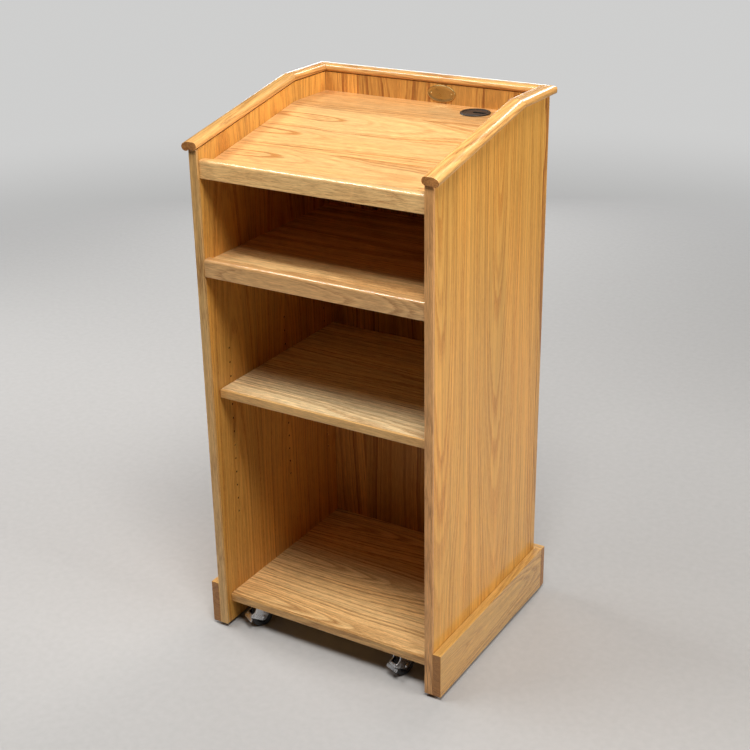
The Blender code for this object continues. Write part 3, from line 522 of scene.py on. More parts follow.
def ring_faces(rings, closed=False):
    """Faces between rings of vertex numbers; a ring of one vertex is a pole."""
    pairs = list(zip(rings, rings[1:]))
    if closed:
        pairs.append((rings[-1], rings[0]))
    faces = []
    for lower, upper in pairs:
        count = max(len(lower), len(upper))
        for i in range(count):
            j = (i + 1) % count
            corners = [lower[i % len(lower)], lower[j % len(lower)]]
            corners += [upper[j % len(upper)], upper[i % len(upper)]]
            face = list(dict.fromkeys(corners))
            if len(face) > 2:
                faces.append(face)
    return faces


def between(verts):
    """Solid between two outlines with as many points each, given one after the other."""
    count = len(verts) // 2
    rings = [list(range(count)), list(range(count, 2 * count))]
    return mesh_from(verts, rings + ring_faces(rings))


def prism(outline, axis, start, end):
    """An outline pushed along an axis: (y, z) points along X, (x, z) along Y, (x, y) along Z."""
    lift = {
        "X": lambda u, v, w: (w, u, v),
        "Y": lambda u, v, w: (u, w, v),
        "Z": lambda u, v, w: (u, v, w),
    }[axis]
    return between([lift(u, v, w) for w in (start, end) for u, v in outline])


def arc(centre, radius, start, end, steps, squash=1.0):
    """Points on a round stretch of an outline, from one angle in degrees to another."""
    points = []
    for step in range(steps + 1):
        angle = math.radians(start + (end - start) * step / steps)
        points.append((centre[0] + radius * math.cos(angle), centre[1] + squash * radius * math.sin(angle)))
    return points


def dome(radius, base, top, steps=6):
    """Profile of a flattened dome, from its edge at the base to the middle of its top."""
    return arc((0, base), radius, 0, 90 - 90 / steps, steps - 1, (top - base) / radius) + [(0, top)]


def rectangle(low, high):
    """Outline of a rectangle between two opposite corners."""
    return [low, (high[0], low[1]), high, (low[0], high[1])]


def turned(profile, segments=64, closed=False):
    """A profile of (radius, height) points turned about Z; closed joins its last point to its first."""
    verts = []
    rings = []
    for radius, height in profile:
        count = 1 if radius == 0 else segments
        rings.append([len(verts) + i for i in range(count)])
        for i in range(count):
            angle = math.tau * i / segments
            verts.append((radius * math.cos(angle), radius * math.sin(angle), height))
    return mesh_from(verts, ring_faces(rings, closed))


def turn(degrees, axis):
    """Rotation about an axis."""
    return Matrix.Rotation(math.radians(degrees), 4, axis)


def moved(mesh, matrix):
    """The mesh after a move, with nothing shared with the original."""
    result = mesh.copy()
    result.transform(matrix)
    return result


def turned_along_y(profile, segments=64, closed=False):
    """A turned solid whose axis lies along Y."""
    return moved(turned(profile, segments, closed), turn(-90, "X"))


def gathered(meshes):
    """Several solids in one mesh."""
    shape = bmesh.new()
    for mesh in meshes:
        shape.from_mesh(mesh)
    result = bpy.data.meshes.new("gathered")
    shape.to_mesh(result)
    shape.free()
    return result


def combined(mesh, tool, operation):
    """The mesh joined with (UNION), cut by (DIFFERENCE) or held inside (INTERSECT) another one."""
    body = bpy.data.objects.new("work", mesh)
    cutter = bpy.data.objects.new("cutter", tool)
    for thing in (body, cutter):
        bpy.context.scene.collection.objects.link(thing)
    modifier = body.modifiers.new("combine", "BOOLEAN")
    modifier.operation = operation
    modifier.object = cutter
    bpy.context.view_layer.update()
    graph = bpy.context.evaluated_depsgraph_get()
    result = bpy.data.meshes.new_from_object(body.evaluated_get(graph))
    for thing in (body, cutter):
        bpy.data.objects.remove(thing, do_unlink=True)
    return result


SMOOTH_UP_TO = math.radians(32)
ROUND_FROM = math.radians(50)
PRESSED_EDGE = 0.0003       # rounding of the edges of pressed and moulded pieces


def put(name, mesh, material, node=None, matrix=None, edge=0.0):
    """A finished piece that stands for a CAD node, or an extra one on the cabinet.

    edge rounds what is still sharp.
    """
    body = NODES[node]["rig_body"] if node else "cabinet"
    if matrix is not None:
        mesh = moved(mesh, matrix)
    mesh.shade_smooth()
    mesh.set_sharp_from_angle(angle=SMOOTH_UP_TO)
    piece = bpy.data.objects.new(name, mesh)
    bpy.context.scene.collection.objects.link(piece)
    dress(piece, material)
    if edge:
        rounding = piece.modifiers.new("round_edges", "BEVEL")
        rounding.width = edge
        rounding.segments = 2
        rounding.limit_method = "ANGLE"
        rounding.angle_limit = ROUND_FROM
        rounding.harden_normals = True
    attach(piece, body)
    if node:
        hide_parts(node)


# ------ rail and nosings

CAP_THICKNESS = 0.0165
CAP_OUT = 0.0132            # how far the rail stands out beyond a panel's outer face
CAP_IN = 0.004              # and beyond its inner face
CAP_LIP = 0.0022            # how far it reaches down over the outer face
CAP_TOE = 0.003
CAP_SHOULDER = 0.006
CAP_FLAT_END = -0.004
CAP_NOSE = 0.0043           # how far it runs on past the panels' front
CAP_CORNER_RADIUS = 0.010
CAP_EASE = 0.0005
NOSING_RADIUS = 0.006
NOSING_BACK_RADIUS = 0.003
NOSING_EASE = 0.0007


def cap_profile():
    """Section of the rail: (distance outwards from a panel's outer face, height above its top edge)."""
    inner_radius = (CAP_THICKNESS - GAP) / 2
    inner_centre = -(PLY + CAP_IN) + inner_radius
    outline = arc((inner_centre, GAP + inner_radius), inner_radius, 270, 90, 24)
    reach = CAP_OUT - CAP_FLAT_END
    rise = CAP_THICKNESS - CAP_SHOULDER
    outline += arc((CAP_FLAT_END, CAP_SHOULDER), reach, 90, 0, 18, squash=rise / reach)
    reach = CAP_OUT - CAP_TOE
    outline += arc((CAP_TOE, CAP_SHOULDER), reach, -6, -90, 12, squash=(CAP_SHOULDER + CAP_LIP) / reach)
    outline += [(GAP, -CAP_LIP), (GAP, GAP)]
    return outline


def rail_plan():
    """Plan of the rail's outer edge pushed upwards, with its two audience-side corners rounded."""
    radius = CAP_CORNER_RADIUS
    side = HALF_WIDTH + CAP_OUT - radius
    rear = REAR_FACE + CAP_OUT - radius
    spare = 2 * radius
    outline = [(-side - spare, FRONT - spare), (side + spare, FRONT - spare)]
    outline += [(side + spare, 0), (side + radius, 0)]
    outline += arc((side, rear), radius, 0, 90, 16)
    outline += arc((-side, rear), radius, 90, 180, 16)
    outline += [(-side - radius, 0), (-side - spare, 0)]
    return prism(outline, "Z", LEDGE_TOP, PANEL_TOP + 2 * CAP_THICKNESS)


def mitred_run(outline, start, end, start_normal, end_normal, outwards):
    """A section swept from start to end and cut there by the planes with the given normals."""
    along = (end - start).normalized()
    up = outwards.cross(along)
    if up.z < 0:
        up = -up
    verts = []
    for point, normal, inset in ((start, start_normal, GAP / 2), (end, end_normal, -GAP / 2)):
        for across, above in outline:
            offset = outwards * across + up * above
            slide = -offset.dot(normal) / along.dot(normal)
            verts.append(point + offset + along * (slide + inset))
    return between(verts)


def cap_rail(finish):
    """The moulded rail round three sides of the rim, in five mitred lengths."""
    outline = cap_profile()
    plumb = Vector((0, 1, 0))
    bend_normal = Vector((0, math.cos(SLOPE_ANGLE / 2), math.sin(SLOPE_ANGLE / 2)))
    nose_y = FRONT - CAP_NOSE - GAP / 2
    nose_z = PANEL_TOP - SLOPE * (RIM_BEND - FRONT + CAP_NOSE)
    plan = rail_plan()
    runs = {}
    corners = []
    mitres = []
    for side, name in ((-1, "left"), (1, "right")):
        x = side * HALF_WIDTH
        outwards = Vector((side, 0, 0))
        nose = Vector((x, nose_y, nose_z))
        bend = Vector((x, RIM_BEND, PANEL_TOP))
        corners.append(Vector((x, REAR_FACE, PANEL_TOP)))
        mitres.append(Vector((side, -1, 0)).normalized())
        runs[name + "_slope_cap"] = mitred_run(outline, nose, bend, plumb, bend_normal, outwards)
        level = mitred_run(outline, bend, corners[-1], bend_normal, mitres[-1], outwards)
        runs[name + "_level_cap"] = combined(level, plan, "INTERSECT")
    rear = mitred_run(outline, *corners, *mitres, plumb)
    runs["rear_cap"] = combined(rear, plan, "INTERSECT")
    for node, mesh in runs.items():
        put(node + "_moulding", mesh, finish[node], node, edge=CAP_EASE)


def nosing(node, finish):
    """A deep solid strip with its top edges rounded over and its other edges eased."""
    low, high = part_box(node)
    outline = [(high.y, low.z), (low.y, low.z)]
    outline += arc((low.y + NOSING_RADIUS, high.z - NOSING_RADIUS), NOSING_RADIUS, 180, 90, 14)
    back = NOSING_BACK_RADIUS
    outline += arc((high.y - back, high.z - back), back, 90, 0, 8)
    mesh = prism(outline, "X", low.x, high.x)
    put(node + "_moulding", mesh, finish[node], node, edge=NOSING_EASE)


# ------ fittings

PLAQUE_WALL = 0.55          # height of the plaque's edge below the roll, as a share of its depth
PLAQUE_ROLL = 0.0016        # radius of the roll
PLAQUE_FIELD = 0.60         # height of the field, as a share of the depth
# Groove, bead and field inside the roll: distance from the edge, share of the depth
PLAQUE_RELIEF = ((0.0026, 0.97), (0.0034, 0.70), (0.0040, 0.62), (0.0044, 0.70),
                 (0.0049, 0.70), (0.0053, 0.60), (0.0060, 0.58), (0.0090, PLAQUE_FIELD))
PLAQUE_STEPS = 96
PLAQUE_SCREW = (0.0019, 0.0008)         # radius and height
PLAQUE_SCREW_INSET = 0.0085
GROMMET_BORE = 0.0262
GROMMET_BARREL = 0.028
GROMMET_RECESS = 0.0006     # of the board under the flange
GROMMET_SHOULDER = 0.0016
GROMMET_LIP = 0.0007
GROMMET_SEAT_DROP = 0.0048  # from the liner's top to the ledge that carries the cap
GROMMET_SEAT_WIDTH = 0.0018
GROMMET_SEAT_RISE = 0.0038
GROMMET_CAP_ROUND = 0.0008
GROMMET_GROOVE = (0.0045, 0.0052, 0.0059)   # edge, floor and edge, from the cap's rim
GROMMET_GROOVE_DEPTH = 0.0005
GROMMET_SLOT_HALF = 0.00575
PIN_SHANK = 0.0021
PIN_SHANK_LENGTH = 0.0095
PIN_COLLAR = 0.0042
PIN_COLLAR_TOP = 0.0013
PIN_DROP = 0.0007           # from the pin's axis to the top of its tongue
PIN_TONGUE = 0.0031
PIN_TONGUE_HALF = 0.0034
PIN_TONGUE_START = 0.0008
PIN_TONGUE_ROUND = 0.0100   # where the tongue's round end begins


def slotted_screw(radius, height):
    """Low domed screw head with a slot, standing on z = 0."""
    head = turned([(0, -height / 2), (radius, -height / 2)] + dome(radius, 0, height, 8), 32)
    slot = rectangle((-2 * radius, -radius / 7), (2 * radius, radius / 7))
    return combined(head, prism(slot, "Z", height * 0.5, height * 2), "DIFFERENCE")


def plaque():
    """Blank oval plaque with a rolled rim and a fine inner bead, held by two small screws."""
    low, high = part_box("brass_plaque")
    centre = (low + high) / 2
    wide = (high.x - low.x) / 2
    tall = (high.z - low.z) / 2
    face = low.y - high.y
    wall = face * PLAQUE_WALL
    section = [(0.0, 0.0)]
    section += arc((PLAQUE_ROLL, wall), PLAQUE_ROLL, 180, 90, 6, squash=(face - wall) / PLAQUE_ROLL)
    section += [(inset, face * share) for inset, share in PLAQUE_RELIEF]
    verts = []
    rings = []
    for inset, depth in section:
        rings.append([])
        for step in range(PLAQUE_STEPS):
            angle = math.tau * step / PLAQUE_STEPS
            rings[-1].append(len(verts))
            verts.append((centre.x + (wide - inset) * math.cos(angle), high.y + depth,
                          centre.z + (tall - inset) * math.sin(angle)))
    mesh = mesh_from(verts, [rings[0], rings[-1]] + ring_faces(rings))
    put("brass_plaque_relief", mesh, BRASS, "brass_plaque")
    head = slotted_screw(*PLAQUE_SCREW)
    for side, side_name, angle in ((-1, "left", 20), (1, "right", 65)):
        x = centre.x + side * (wide - PLAQUE_SCREW_INSET)
        pose = Matrix.Translation((x, high.y + face * PLAQUE_FIELD, centre.z))
        pose = pose @ turn(90, "X") @ turn(angle, "Z")
        put(f"plaque_{side_name}_screw", head, BRASS, matrix=pose)


def grommet():
    """Liner of the cable hole and its cap, with round shoulders and a cable slot."""
    low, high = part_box("grommet_liner")
    place = Matrix.Translation(((low.x + high.x) / 2, (low.y + high.y) / 2, LEDGE_TOP))
    flange = (high.x - low.x) / 2
    top = high.z - LEDGE_TOP
    bottom = low.z - LEDGE_TOP
    under = GAP - GROMMET_RECESS
    seat = top - GROMMET_SEAT_DROP
    profile = [(GROMMET_BARREL, bottom), (GROMMET_BARREL, under), (flange, under)]
    profile += arc((flange - GROMMET_SHOULDER, top - GROMMET_SHOULDER), GROMMET_SHOULDER, 0, 90, 8)
    profile += arc((GROMMET_BORE + GROMMET_LIP, top - GROMMET_LIP), GROMMET_LIP, 90, 180, 5)
    profile += [(GROMMET_BORE, seat), (GROMMET_BORE - GROMMET_SEAT_WIDTH, seat)]
    profile += [(GROMMET_BORE, seat - GROMMET_SEAT_RISE), (GROMMET_BORE, bottom)]
    ring = turned(profile, 96, closed=True)
    put("grommet_liner_ring", ring, BLACK_PLASTIC, "grommet_liner", place)

    cap_low, cap_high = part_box("grommet_cap")
    radius = (cap_high.y - cap_low.y) / 2
    under = cap_low.z - LEDGE_TOP
    over = cap_high.z - LEDGE_TOP
    ease = GROMMET_CAP_ROUND
    profile = [(0, under), (radius, under)] + arc((radius - ease, over - ease), ease, 0, 90, 6)
    for inset, depth in zip(GROMMET_GROOVE, (0.0, GROMMET_GROOVE_DEPTH, 0.0)):
        profile.append((radius - inset, over - depth))
    profile.append((0, over))
    half = GROMMET_SLOT_HALF
    slot = prism([(2 * radius, -half), (2 * radius, half)] + arc((0, 0), half, 90, 270, 24), "Z", -PLY, PLY)
    cap = combined(turned(profile, 96), slot, "DIFFERENCE")
    put("grommet_cap_disc", cap, BLACK_PLASTIC, "grommet_cap", place, PRESSED_EDGE)


def shelf_pins():
    """Four spoon pins: a turned shank and collar, and a flat tongue with a round end under the shelf."""
    end = -PIN_SHANK_LENGTH
    profile = [(0, end), (PIN_SHANK - 0.0004, end), (PIN_SHANK, end + 0.0007), (PIN_SHANK, GAP)]
    profile += [(PIN_COLLAR - 0.0002, GAP), (PIN_COLLAR, GAP + 0.0002), (PIN_COLLAR, PIN_COLLAR_TOP - 0.0003)]
    profile += [(PIN_COLLAR - 0.0003, PIN_COLLAR_TOP), (0, PIN_COLLAR_TOP)]
    shank = moved(turned(profile, 32), turn(90, "Y"))
    half = PIN_TONGUE_HALF
    outline = [(PIN_TONGUE_START, -half), (PIN_TONGUE_ROUND, -half)]
    outline += arc((PIN_TONGUE_ROUND, 0), half, -90, 90, 12) + [(PIN_TONGUE_START, half)]
    tongue = prism(outline, "Z", -PIN_DROP - PIN_TONGUE, -PIN_DROP)
    mesh = combined(shank, tongue, "UNION")
    for side, side_name in ((-1, "left"), (1, "right")):
        for row in ("front", "rear"):
            node = f"{side_name}_{row}_shelf_pin"
            low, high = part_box(node)
            place = Matrix.Translation((side * INNER_HALF, (low.y + high.y) / 2, (low.z + high.z) / 2))
            if side > 0:
                place = place @ turn(180, "Z")
            put(node + "_turned", mesh, ZINC, node, place, PRESSED_EDGE)


# ------ casters

SHEET = 0.002
PLATE_HALF = (0.030, 0.023)
PLATE_CORNER = 0.005
PLATE_SCREWS = [(0.0235 * x, 0.0165 * y) for x in (-1, 1) for y in (-1, 1)]
SCREW_HOLE = 0.0024
SCREW_HEAD = (0.0038, 0.0016)           # radius and height, as for the next ones
SCREW_THREAD = (0.0022, 0.0015)
KINGPIN_HEAD = (0.0066, 0.0023)
RECESS_ARM = (0.0019, 0.0004)           # half length and half width
KINGPIN = 0.004
FORK_HALF = 0.0115
FORK_BEND = 0.003
FORK_EDGE = 0.0004
AXLE = 0.003
AXLE_HEAD = 0.0050
AXLE_BOSS = 0.0080          # radius of the legs' round end
BRAKE_PIN = 0.0018
BRAKE_PIN_HEAD = 0.0030
PIN_HEAD_RISE = 0.0013
LUG = 0.0038
RIM = 0.0178
BOSS_HALF = 0.0090
RIB_SPAN = (0.0064, 0.0156)             # from the axle
RIB_HALF = (0.0007, 0.0066)             # half thickness and half height
RIBS = 8
TREAD_GROOVE = 0.0004
TREAD_HALF = 0.0042
TYRE_HALF = 0.0079
TYRE_SHOULDER = 0.0035
PEDAL_SLOPE = 65            # degrees
PEDAL_STROKE = 25           # degrees that bring the lobe to the tyre
PEDAL_BOSS = 0.0031
PEDAL_NECK = 0.008
PEDAL_HALF = 0.0165
PEDAL_LENGTH = 0.0125
PEDAL_SHEET = (0.0004, 0.0022)          # lower and upper face, from the pin's axis
PEDAL_TEETH = 7
PEDAL_TOOTH = 0.0020
TRAIL = (middle("rear_left_caster_axle") - middle("rear_left_caster_kingpin")).xy.length
WHEEL = middle("rear_left_caster_axle").z
FORK_TOP = high_corner("rear_left_caster_fork").z
PLATE_TOP = high_corner("rear_left_caster_plate").z
BRAKE_X = (middle("front_left_caster_brake_pin") - middle("front_left_caster_kingpin")).xy.length
BRAKE_Z = middle("front_left_caster_brake_pin").z


def upright_drill(radius):
    """Cutter for a hole through the top of a caster."""
    return turned([(0, 0), (radius, 0), (radius, 2 * PLATE_TOP), (0, 2 * PLATE_TOP)], 32)


def caster_plate():
    """Top plate with four screw holes, and the pressed ring of the swivel bearing below it."""
    corner = PLATE_CORNER
    outline = []
    for quadrant, (sign_x, sign_y) in enumerate(((1, 1), (-1, 1), (-1, -1), (1, -1))):
        centre = (sign_x * (PLATE_HALF[0] - corner), sign_y * (PLATE_HALF[1] - corner))
        outline += arc(centre, corner, 90 * quadrant, 90 * quadrant + 90, 8)
    bottom = PLATE_TOP - SHEET
    plate = prism(outline, "Z", bottom, PLATE_TOP)
    race_low = FORK_TOP + GAP
    inside = bottom + 0.0005
    race = [(0, race_low), (0.0150, race_low), (0.0160, race_low + 0.0004), (0.0167, race_low + 0.0012)]
    race += [(0.0180, bottom - 0.0004), (0.0190, bottom), (0.0190, inside), (0, inside)]
    plate = combined(plate, turned(race), "UNION")
    drills = [upright_drill(KINGPIN + GAP)]
    for x, y in PLATE_SCREWS:
        drills.append(moved(upright_drill(SCREW_HOLE), Matrix.Translation((x, y, 0))))
    return combined(plate, gathered(drills), "DIFFERENCE")


def kingpin():
    """Rivet that holds the fork under the plate, with its domed head inside the fork."""
    head_top = FORK_TOP - SHEET - GAP
    radius, height = KINGPIN_HEAD
    profile = dome(radius, head_top, head_top - height)[::-1]
    profile += [(KINGPIN, head_top), (KINGPIN, PLATE_TOP - GAP), (0, PLATE_TOP - GAP)]
    return turned(profile, 48)


def cross_drill(radius, x, z):
    """Cutter for a hole across both legs of a fork."""
    reach = 2 * FORK_HALF
    drill = turned_along_y([(0, -reach), (radius, -reach), (radius, reach), (0, reach)], 32)
    return moved(drill, Matrix.Translation((x, 0, z)))


def fork(with_lugs):
    """Pressed fork: a folded channel cut to the outline of its legs. Lugs carry a brake pedal's pin."""
    inner = FORK_HALF - SHEET
    bend = FORK_BEND
    inner_bend = bend - SHEET
    foot = WHEEL / 2
    channel = [(-FORK_HALF, foot)]
    channel += arc((-FORK_HALF + bend, FORK_TOP - bend), bend, 180, 90, 8)
    channel += arc((FORK_HALF - bend, FORK_TOP - bend), bend, 90, 0, 8)
    channel += [(FORK_HALF, foot), (inner, foot)]
    channel += arc((inner - inner_bend, FORK_TOP - bend), inner_bend, 0, 90, 4)
    channel += arc((-inner + inner_bend, FORK_TOP - bend), inner_bend, 90, 180, 4)
    channel += [(-inner, foot)]
    folded = prism(channel, "X", -WHEEL, BRAKE_X + WHEEL)
    over = FORK_TOP + SHEET
    if with_lugs:
        legs = arc((TRAIL, WHEEL), AXLE_BOSS, 200, 300, 16)
        legs += arc((BRAKE_X, BRAKE_Z), LUG, -70, 70, 16)
        legs += [(0.0400, 0.0440), (0.0355, over)]
    else:
        legs = arc((TRAIL, WHEEL), AXLE_BOSS, 200, 350, 20)
        legs += [(0.0320, 0.0430), (0.0300, over)]
    legs += [(-0.0150, over), (-0.0150, 0.0480), (-0.0020, 0.0430)]
    shape = combined(folded, prism(legs, "Y", -2 * FORK_HALF, 2 * FORK_HALF), "INTERSECT")
    disc = [(0, FORK_TOP - SHEET), (0.0172, FORK_TOP - SHEET), (0.0175, FORK_TOP - 0.0016)]
    disc += [(0.0172, FORK_TOP - 0.0005), (0.0165, FORK_TOP), (0, FORK_TOP)]
    shape = combined(shape, turned(disc), "UNION")
    shape = combined(shape, upright_drill(KINGPIN + GAP), "DIFFERENCE")
    drills = [cross_drill(AXLE + GAP, TRAIL, WHEEL)]
    if with_lugs:
        drills.append(cross_drill(BRAKE_PIN + GAP, BRAKE_X, BRAKE_Z))
    return combined(shape, gathered(drills), "DIFFERENCE")


def headed_pin(radius, head_radius):
    """A riveted pin along Y with a domed head on each end, for a hole across the fork."""
    grip = FORK_HALF + GAP
    half = [(radius, grip)] + dome(head_radius, grip, grip + PIN_HEAD_RISE)
    profile = [(r, -y) for r, y in reversed(half)] + half
    return turned_along_y(profile, 40)


def hub():
    """Moulded hub: a bearing boss, a dished web with eight ribs on each face, and a rim."""
    bore = AXLE + GAP
    profile = [(bore, BOSS_HALF), (0.0058, BOSS_HALF), (0.0062, 0.0086), (0.0068, 0.0050), (0.0080, 0.0040)]
    profile += [(0.0142, 0.0040), (0.0152, 0.0050), (0.0156, 0.0073), (0.0160, 0.0076)]
    profile += [(RIM - 0.0003, 0.0076), (RIM, 0.0073)]
    profile += [(r, -y) for r, y in reversed(profile)]
    shape = turned_along_y(profile, 72, closed=True)
    thick, high = RIB_HALF
    rib = prism(rectangle((RIB_SPAN[0], -thick), (RIB_SPAN[1], thick)), "Z", -high, high)
    for number in range(RIBS):
        shape = combined(shape, moved(rib, turn(360 * number / RIBS, "Y") @ turn(90, "X")), "UNION")
    return shape


def tyre():
    """Rubber tyre with round shoulders and a shallow groove down the middle of its tread."""
    inside = RIM + GAP
    groove = TREAD_GROOVE
    half = [(WHEEL - groove, 0.0), (WHEEL - groove, groove), (WHEEL, 2 * groove), (WHEEL, TREAD_HALF)]
    half += arc((WHEEL - TYRE_SHOULDER, TYRE_HALF - TYRE_SHOULDER), TYRE_SHOULDER, 10, 80, 7)
    half += [(inside + 0.0004, TYRE_HALF), (inside, TYRE_HALF - 0.0004)]
    profile = [(r, -y) for r, y in reversed(half[1:])] + half
    return turned_along_y(profile, 96, closed=True)


def brake_pedal():
    """Pedal on its pin: a boss with a lobe for the tyre, and a wide pad with a toothed lower edge."""
    across = TRAIL - BRAKE_X
    above = WHEEL - BRAKE_Z
    lobe_reach = math.hypot(across, above) - WHEEL - GAP
    lobe_angle = math.degrees(math.atan2(above, across)) + PEDAL_STROKE
    boss_outline = arc((0, 0), PEDAL_BOSS, lobe_angle + 30, lobe_angle + 330, 28)
    tip = math.radians(lobe_angle)
    boss_outline.append((lobe_reach * math.cos(tip), lobe_reach * math.sin(tip)))
    neck = PEDAL_NECK
    boss = prism(boss_outline, "Y", -neck - 2 * GAP, neck + 2 * GAP)
    half = PEDAL_HALF
    shoulder = LUG + 0.0012
    valley = PEDAL_LENGTH - PEDAL_TOOTH
    width = 2 * half / PEDAL_TEETH
    outline = [(0.0, -neck), (LUG + 0.0005, -neck), (shoulder, -half)]
    for tooth in range(PEDAL_TEETH):
        start = -half + 2 * half * tooth / PEDAL_TEETH
        for reach, share in ((valley, 0.1), (PEDAL_LENGTH, 0.35), (PEDAL_LENGTH, 0.65), (valley, 0.9)):
            outline.append((reach, start + share * width))
    outline += [(shoulder, half), (LUG + 0.0005, neck), (0.0, neck)]
    pad = moved(prism(outline, "Z", *PEDAL_SHEET), turn(PEDAL_SLOPE, "Y"))
    pedal = combined(boss, pad, "UNION")
    return combined(pedal, cross_drill(BRAKE_PIN + GAP, 0, 0), "DIFFERENCE")


def plate_screw():
    """Pan-head screw seen from below: a domed head with a cross recess."""
    radius, height = SCREW_HEAD
    thread, length = SCREW_THREAD
    profile = dome(radius, 0, -height)[::-1]
    profile += [(thread, 0.0), (thread, length), (0, length)]
    head = turned(profile, 32)
    for wide, deep in (RECESS_ARM, RECESS_ARM[::-1]):
        recess = prism(rectangle((-wide, -deep), (wide, deep)), "Z", -2 * height, -height / 2)
        head = combined(head, recess, "DIFFERENCE")
    return head


def casters():
    """Four casters; each swivels about its kingpin, and the front two have a brake pedal."""
    plate = caster_plate()
    rivet = kingpin()
    forks = {True: fork(True), False: fork(False)}
    axle = headed_pin(AXLE, AXLE_HEAD)
    pin = headed_pin(BRAKE_PIN, BRAKE_PIN_HEAD)
    wheel_hub = hub()
    wheel_tyre = tyre()
    pedal = brake_pedal()
    screw = plate_screw()
    roll_axis = {joint["child"]: Vector(joint["axis"]) for joint in frame["joints"]}
    for name in CASTERS:
        braked = name + "_brake_pedal" in NODES
        axis = roll_axis[name + "_wheel"]
        centre = middle(name + "_kingpin")
        place = Matrix.Translation((centre.x, centre.y, 0))
        swivel = place @ Matrix.Rotation(math.atan2(-axis.x, axis.y), 4, "Z")
        wheel_place = swivel @ Matrix.Translation((TRAIL, 0, WHEEL))
        pieces = [
            ("plate", plate, ZINC, place, PRESSED_EDGE),
            ("kingpin", rivet, ZINC, place, 0.0),
            ("fork", forks[braked], ZINC, swivel, FORK_EDGE),
            ("axle", axle, ZINC, wheel_place, 0.0),
            ("hub", wheel_hub, HUB_PLASTIC, wheel_place, 0.0),
            ("tyre", wheel_tyre, RUBBER, wheel_place, 0.0),
        ]
        if braked:
            pivot = swivel @ Matrix.Translation((BRAKE_X, 0, BRAKE_Z))
            pieces.append(("brake_pin", pin, ZINC, pivot, 0.0))
            pieces.append(("brake_pedal", pedal, ZINC, pivot, PRESSED_EDGE))
        for part, mesh, material, pose, edge in pieces:
            node = f"{name}_{part}"
            put(node + "_fine", mesh, material, node, pose, edge)
        for number, (x, y) in enumerate(PLATE_SCREWS):
            pose = Matrix.Translation((centre.x + x, centre.y + y, PLATE_TOP - SHEET))
            pose = pose @ turn(23 + 31 * number, "Z")
            put(f"{name}_screw_{number + 1}", screw, ZINC, matrix=pose)


# ------ stage, light and camera

BACKDROP = (0.62, 0.62, 0.615)
BACKDROP_FILL = 0.02        # how much of the backdrop's light reaches the lectern
FLOOR_FADE = (1.3, 4.8)     # distance over which the floor melts into the backdrop
CAMERA_PLACE = (1.4146, -2.3356, 1.7805)
CAMERA_YAW = 31.33          # degrees to the left of straight ahead
CAMERA_PITCH = 23.739       # degrees below level
CAMERA_ROLL = -0.914


def floor():
    """Plain pale floor that melts into the backdrop far from the lectern."""
    bpy.ops.mesh.primitive_plane_add(size=40.0, location=(0, 0, 0))
    plane = bpy.context.object
    plane.name = "studio_floor"
    material, g, shader = new_material("pale_floor")
    position = g.add("ShaderNodeTexCoord").outputs["Object"]
    tone = g.noise(position, 60.0, 3.0)
    g.feed(shader.inputs["Base Color"], g.mix(tone, (0.42, 0.41, 0.40), (0.48, 0.47, 0.46)))
    shader.inputs["Roughness"].default_value = 0.9
    distance = g.add("ShaderNodeVectorMath", operation="LENGTH")
    g.feed(distance.inputs[0], position)
    g.feed(shader.inputs["Alpha"], g.ramp(distance.outputs["Value"], *FLOOR_FADE, 1.0, 0.0))
    dress(plane, material)


def backdrop():
    """Plain pale backdrop that the camera sees, and that gives the lectern very little light."""
    world = bpy.data.worlds.new("studio")
    world.use_nodes = True
    background = world.node_tree.nodes["Background"].inputs
    background["Color"].default_value = (*BACKDROP, 1.0)
    g = Graph(world.node_tree)
    seen = g.add("ShaderNodeLightPath").outputs["Is Camera Ray"]
    g.feed(background["Strength"], g.math("MAXIMUM", seen, BACKDROP_FILL))
    bpy.context.scene.world = world


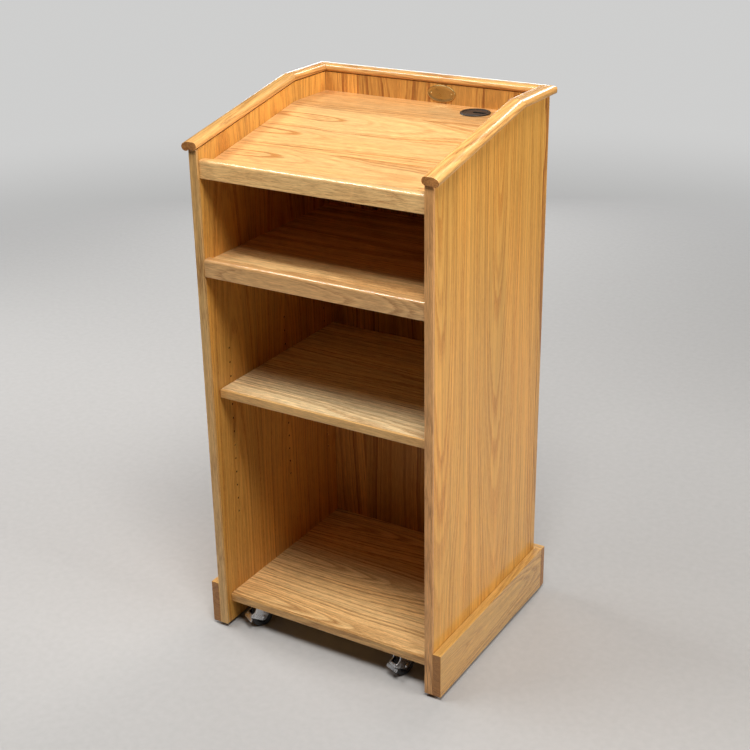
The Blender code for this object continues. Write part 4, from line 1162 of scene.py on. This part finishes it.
def area_light(name, location, target, size, power, colour=(1.0, 1.0, 1.0)):
    """Rectangular soft light that points at a target."""
    lamp = bpy.data.lights.new(name, "AREA")
    lamp.shape = "RECTANGLE"
    lamp.size, lamp.size_y = size
    lamp.energy = power
    lamp.color = colour
    holder = bpy.data.objects.new(name, lamp)
    holder.location = location
    aim = Vector(target) - Vector(location)
    holder.rotation_euler = aim.to_track_quat("-Z", "Y").to_euler()
    bpy.context.scene.collection.objects.link(holder)


def lights():
    """Soft ceiling lights in front, at the left and at the back, fills for the sides and the back."""
    area_light("ceiling_key", (0.85, -1.15, 3.3), (0.0, -0.1, 0.9), (0.9, 0.9), 70.0, (1.0, 0.985, 0.96))
    area_light("ceiling_left", (-1.35, -0.85, 3.3), (0.0, 0.0, 1.1), (1.5, 0.35), 46.0)
    area_light("ceiling_back", (0.0, 3.0, 3.3), (0.0, 0.0, 1.1), (0.6, 1.5), 36.0)
    area_light("right_fill", (3.0, -0.1, 1.8), (0.0, 0.0, 0.7), (0.9, 1.2), 55.0, (1.0, 0.985, 0.96))
    area_light("left_fill", (-3.0, 0.2, 1.8), (0.0, 0.0, 0.7), (0.9, 1.2), 50.0)
    area_light("back_fill", (-1.7, 3.0, 1.0), (0.0, 0.0, 1.6), (1.8, 1.2), 32.0)


def camera():
    """Camera at the standing viewer's place, turned to the left and down."""
    lens = bpy.data.cameras.new("camera")
    lens.lens = 66.78
    lens.sensor_width = 36.0
    holder = bpy.data.objects.new("camera", lens)
    facing = turn(CAMERA_YAW, "Z") @ turn(90 - CAMERA_PITCH, "X") @ turn(CAMERA_ROLL, "Z")
    holder.matrix_world = Matrix.Translation(CAMERA_PLACE) @ facing
    bpy.context.scene.collection.objects.link(holder)
    bpy.context.scene.camera = holder


finish = cabinet_finish()
for node, material in finish.items():
    dress(NODES[node], material)
cap_rail(finish)
for strip in ("book_stop", "upper_shelf_nosing"):
    nosing(strip, finish)
plaque()
grommet()
shelf_pins()
casters()
floor()
backdrop()
lights()
camera()
bpy.context.scene.view_settings.view_transform = "Standard"
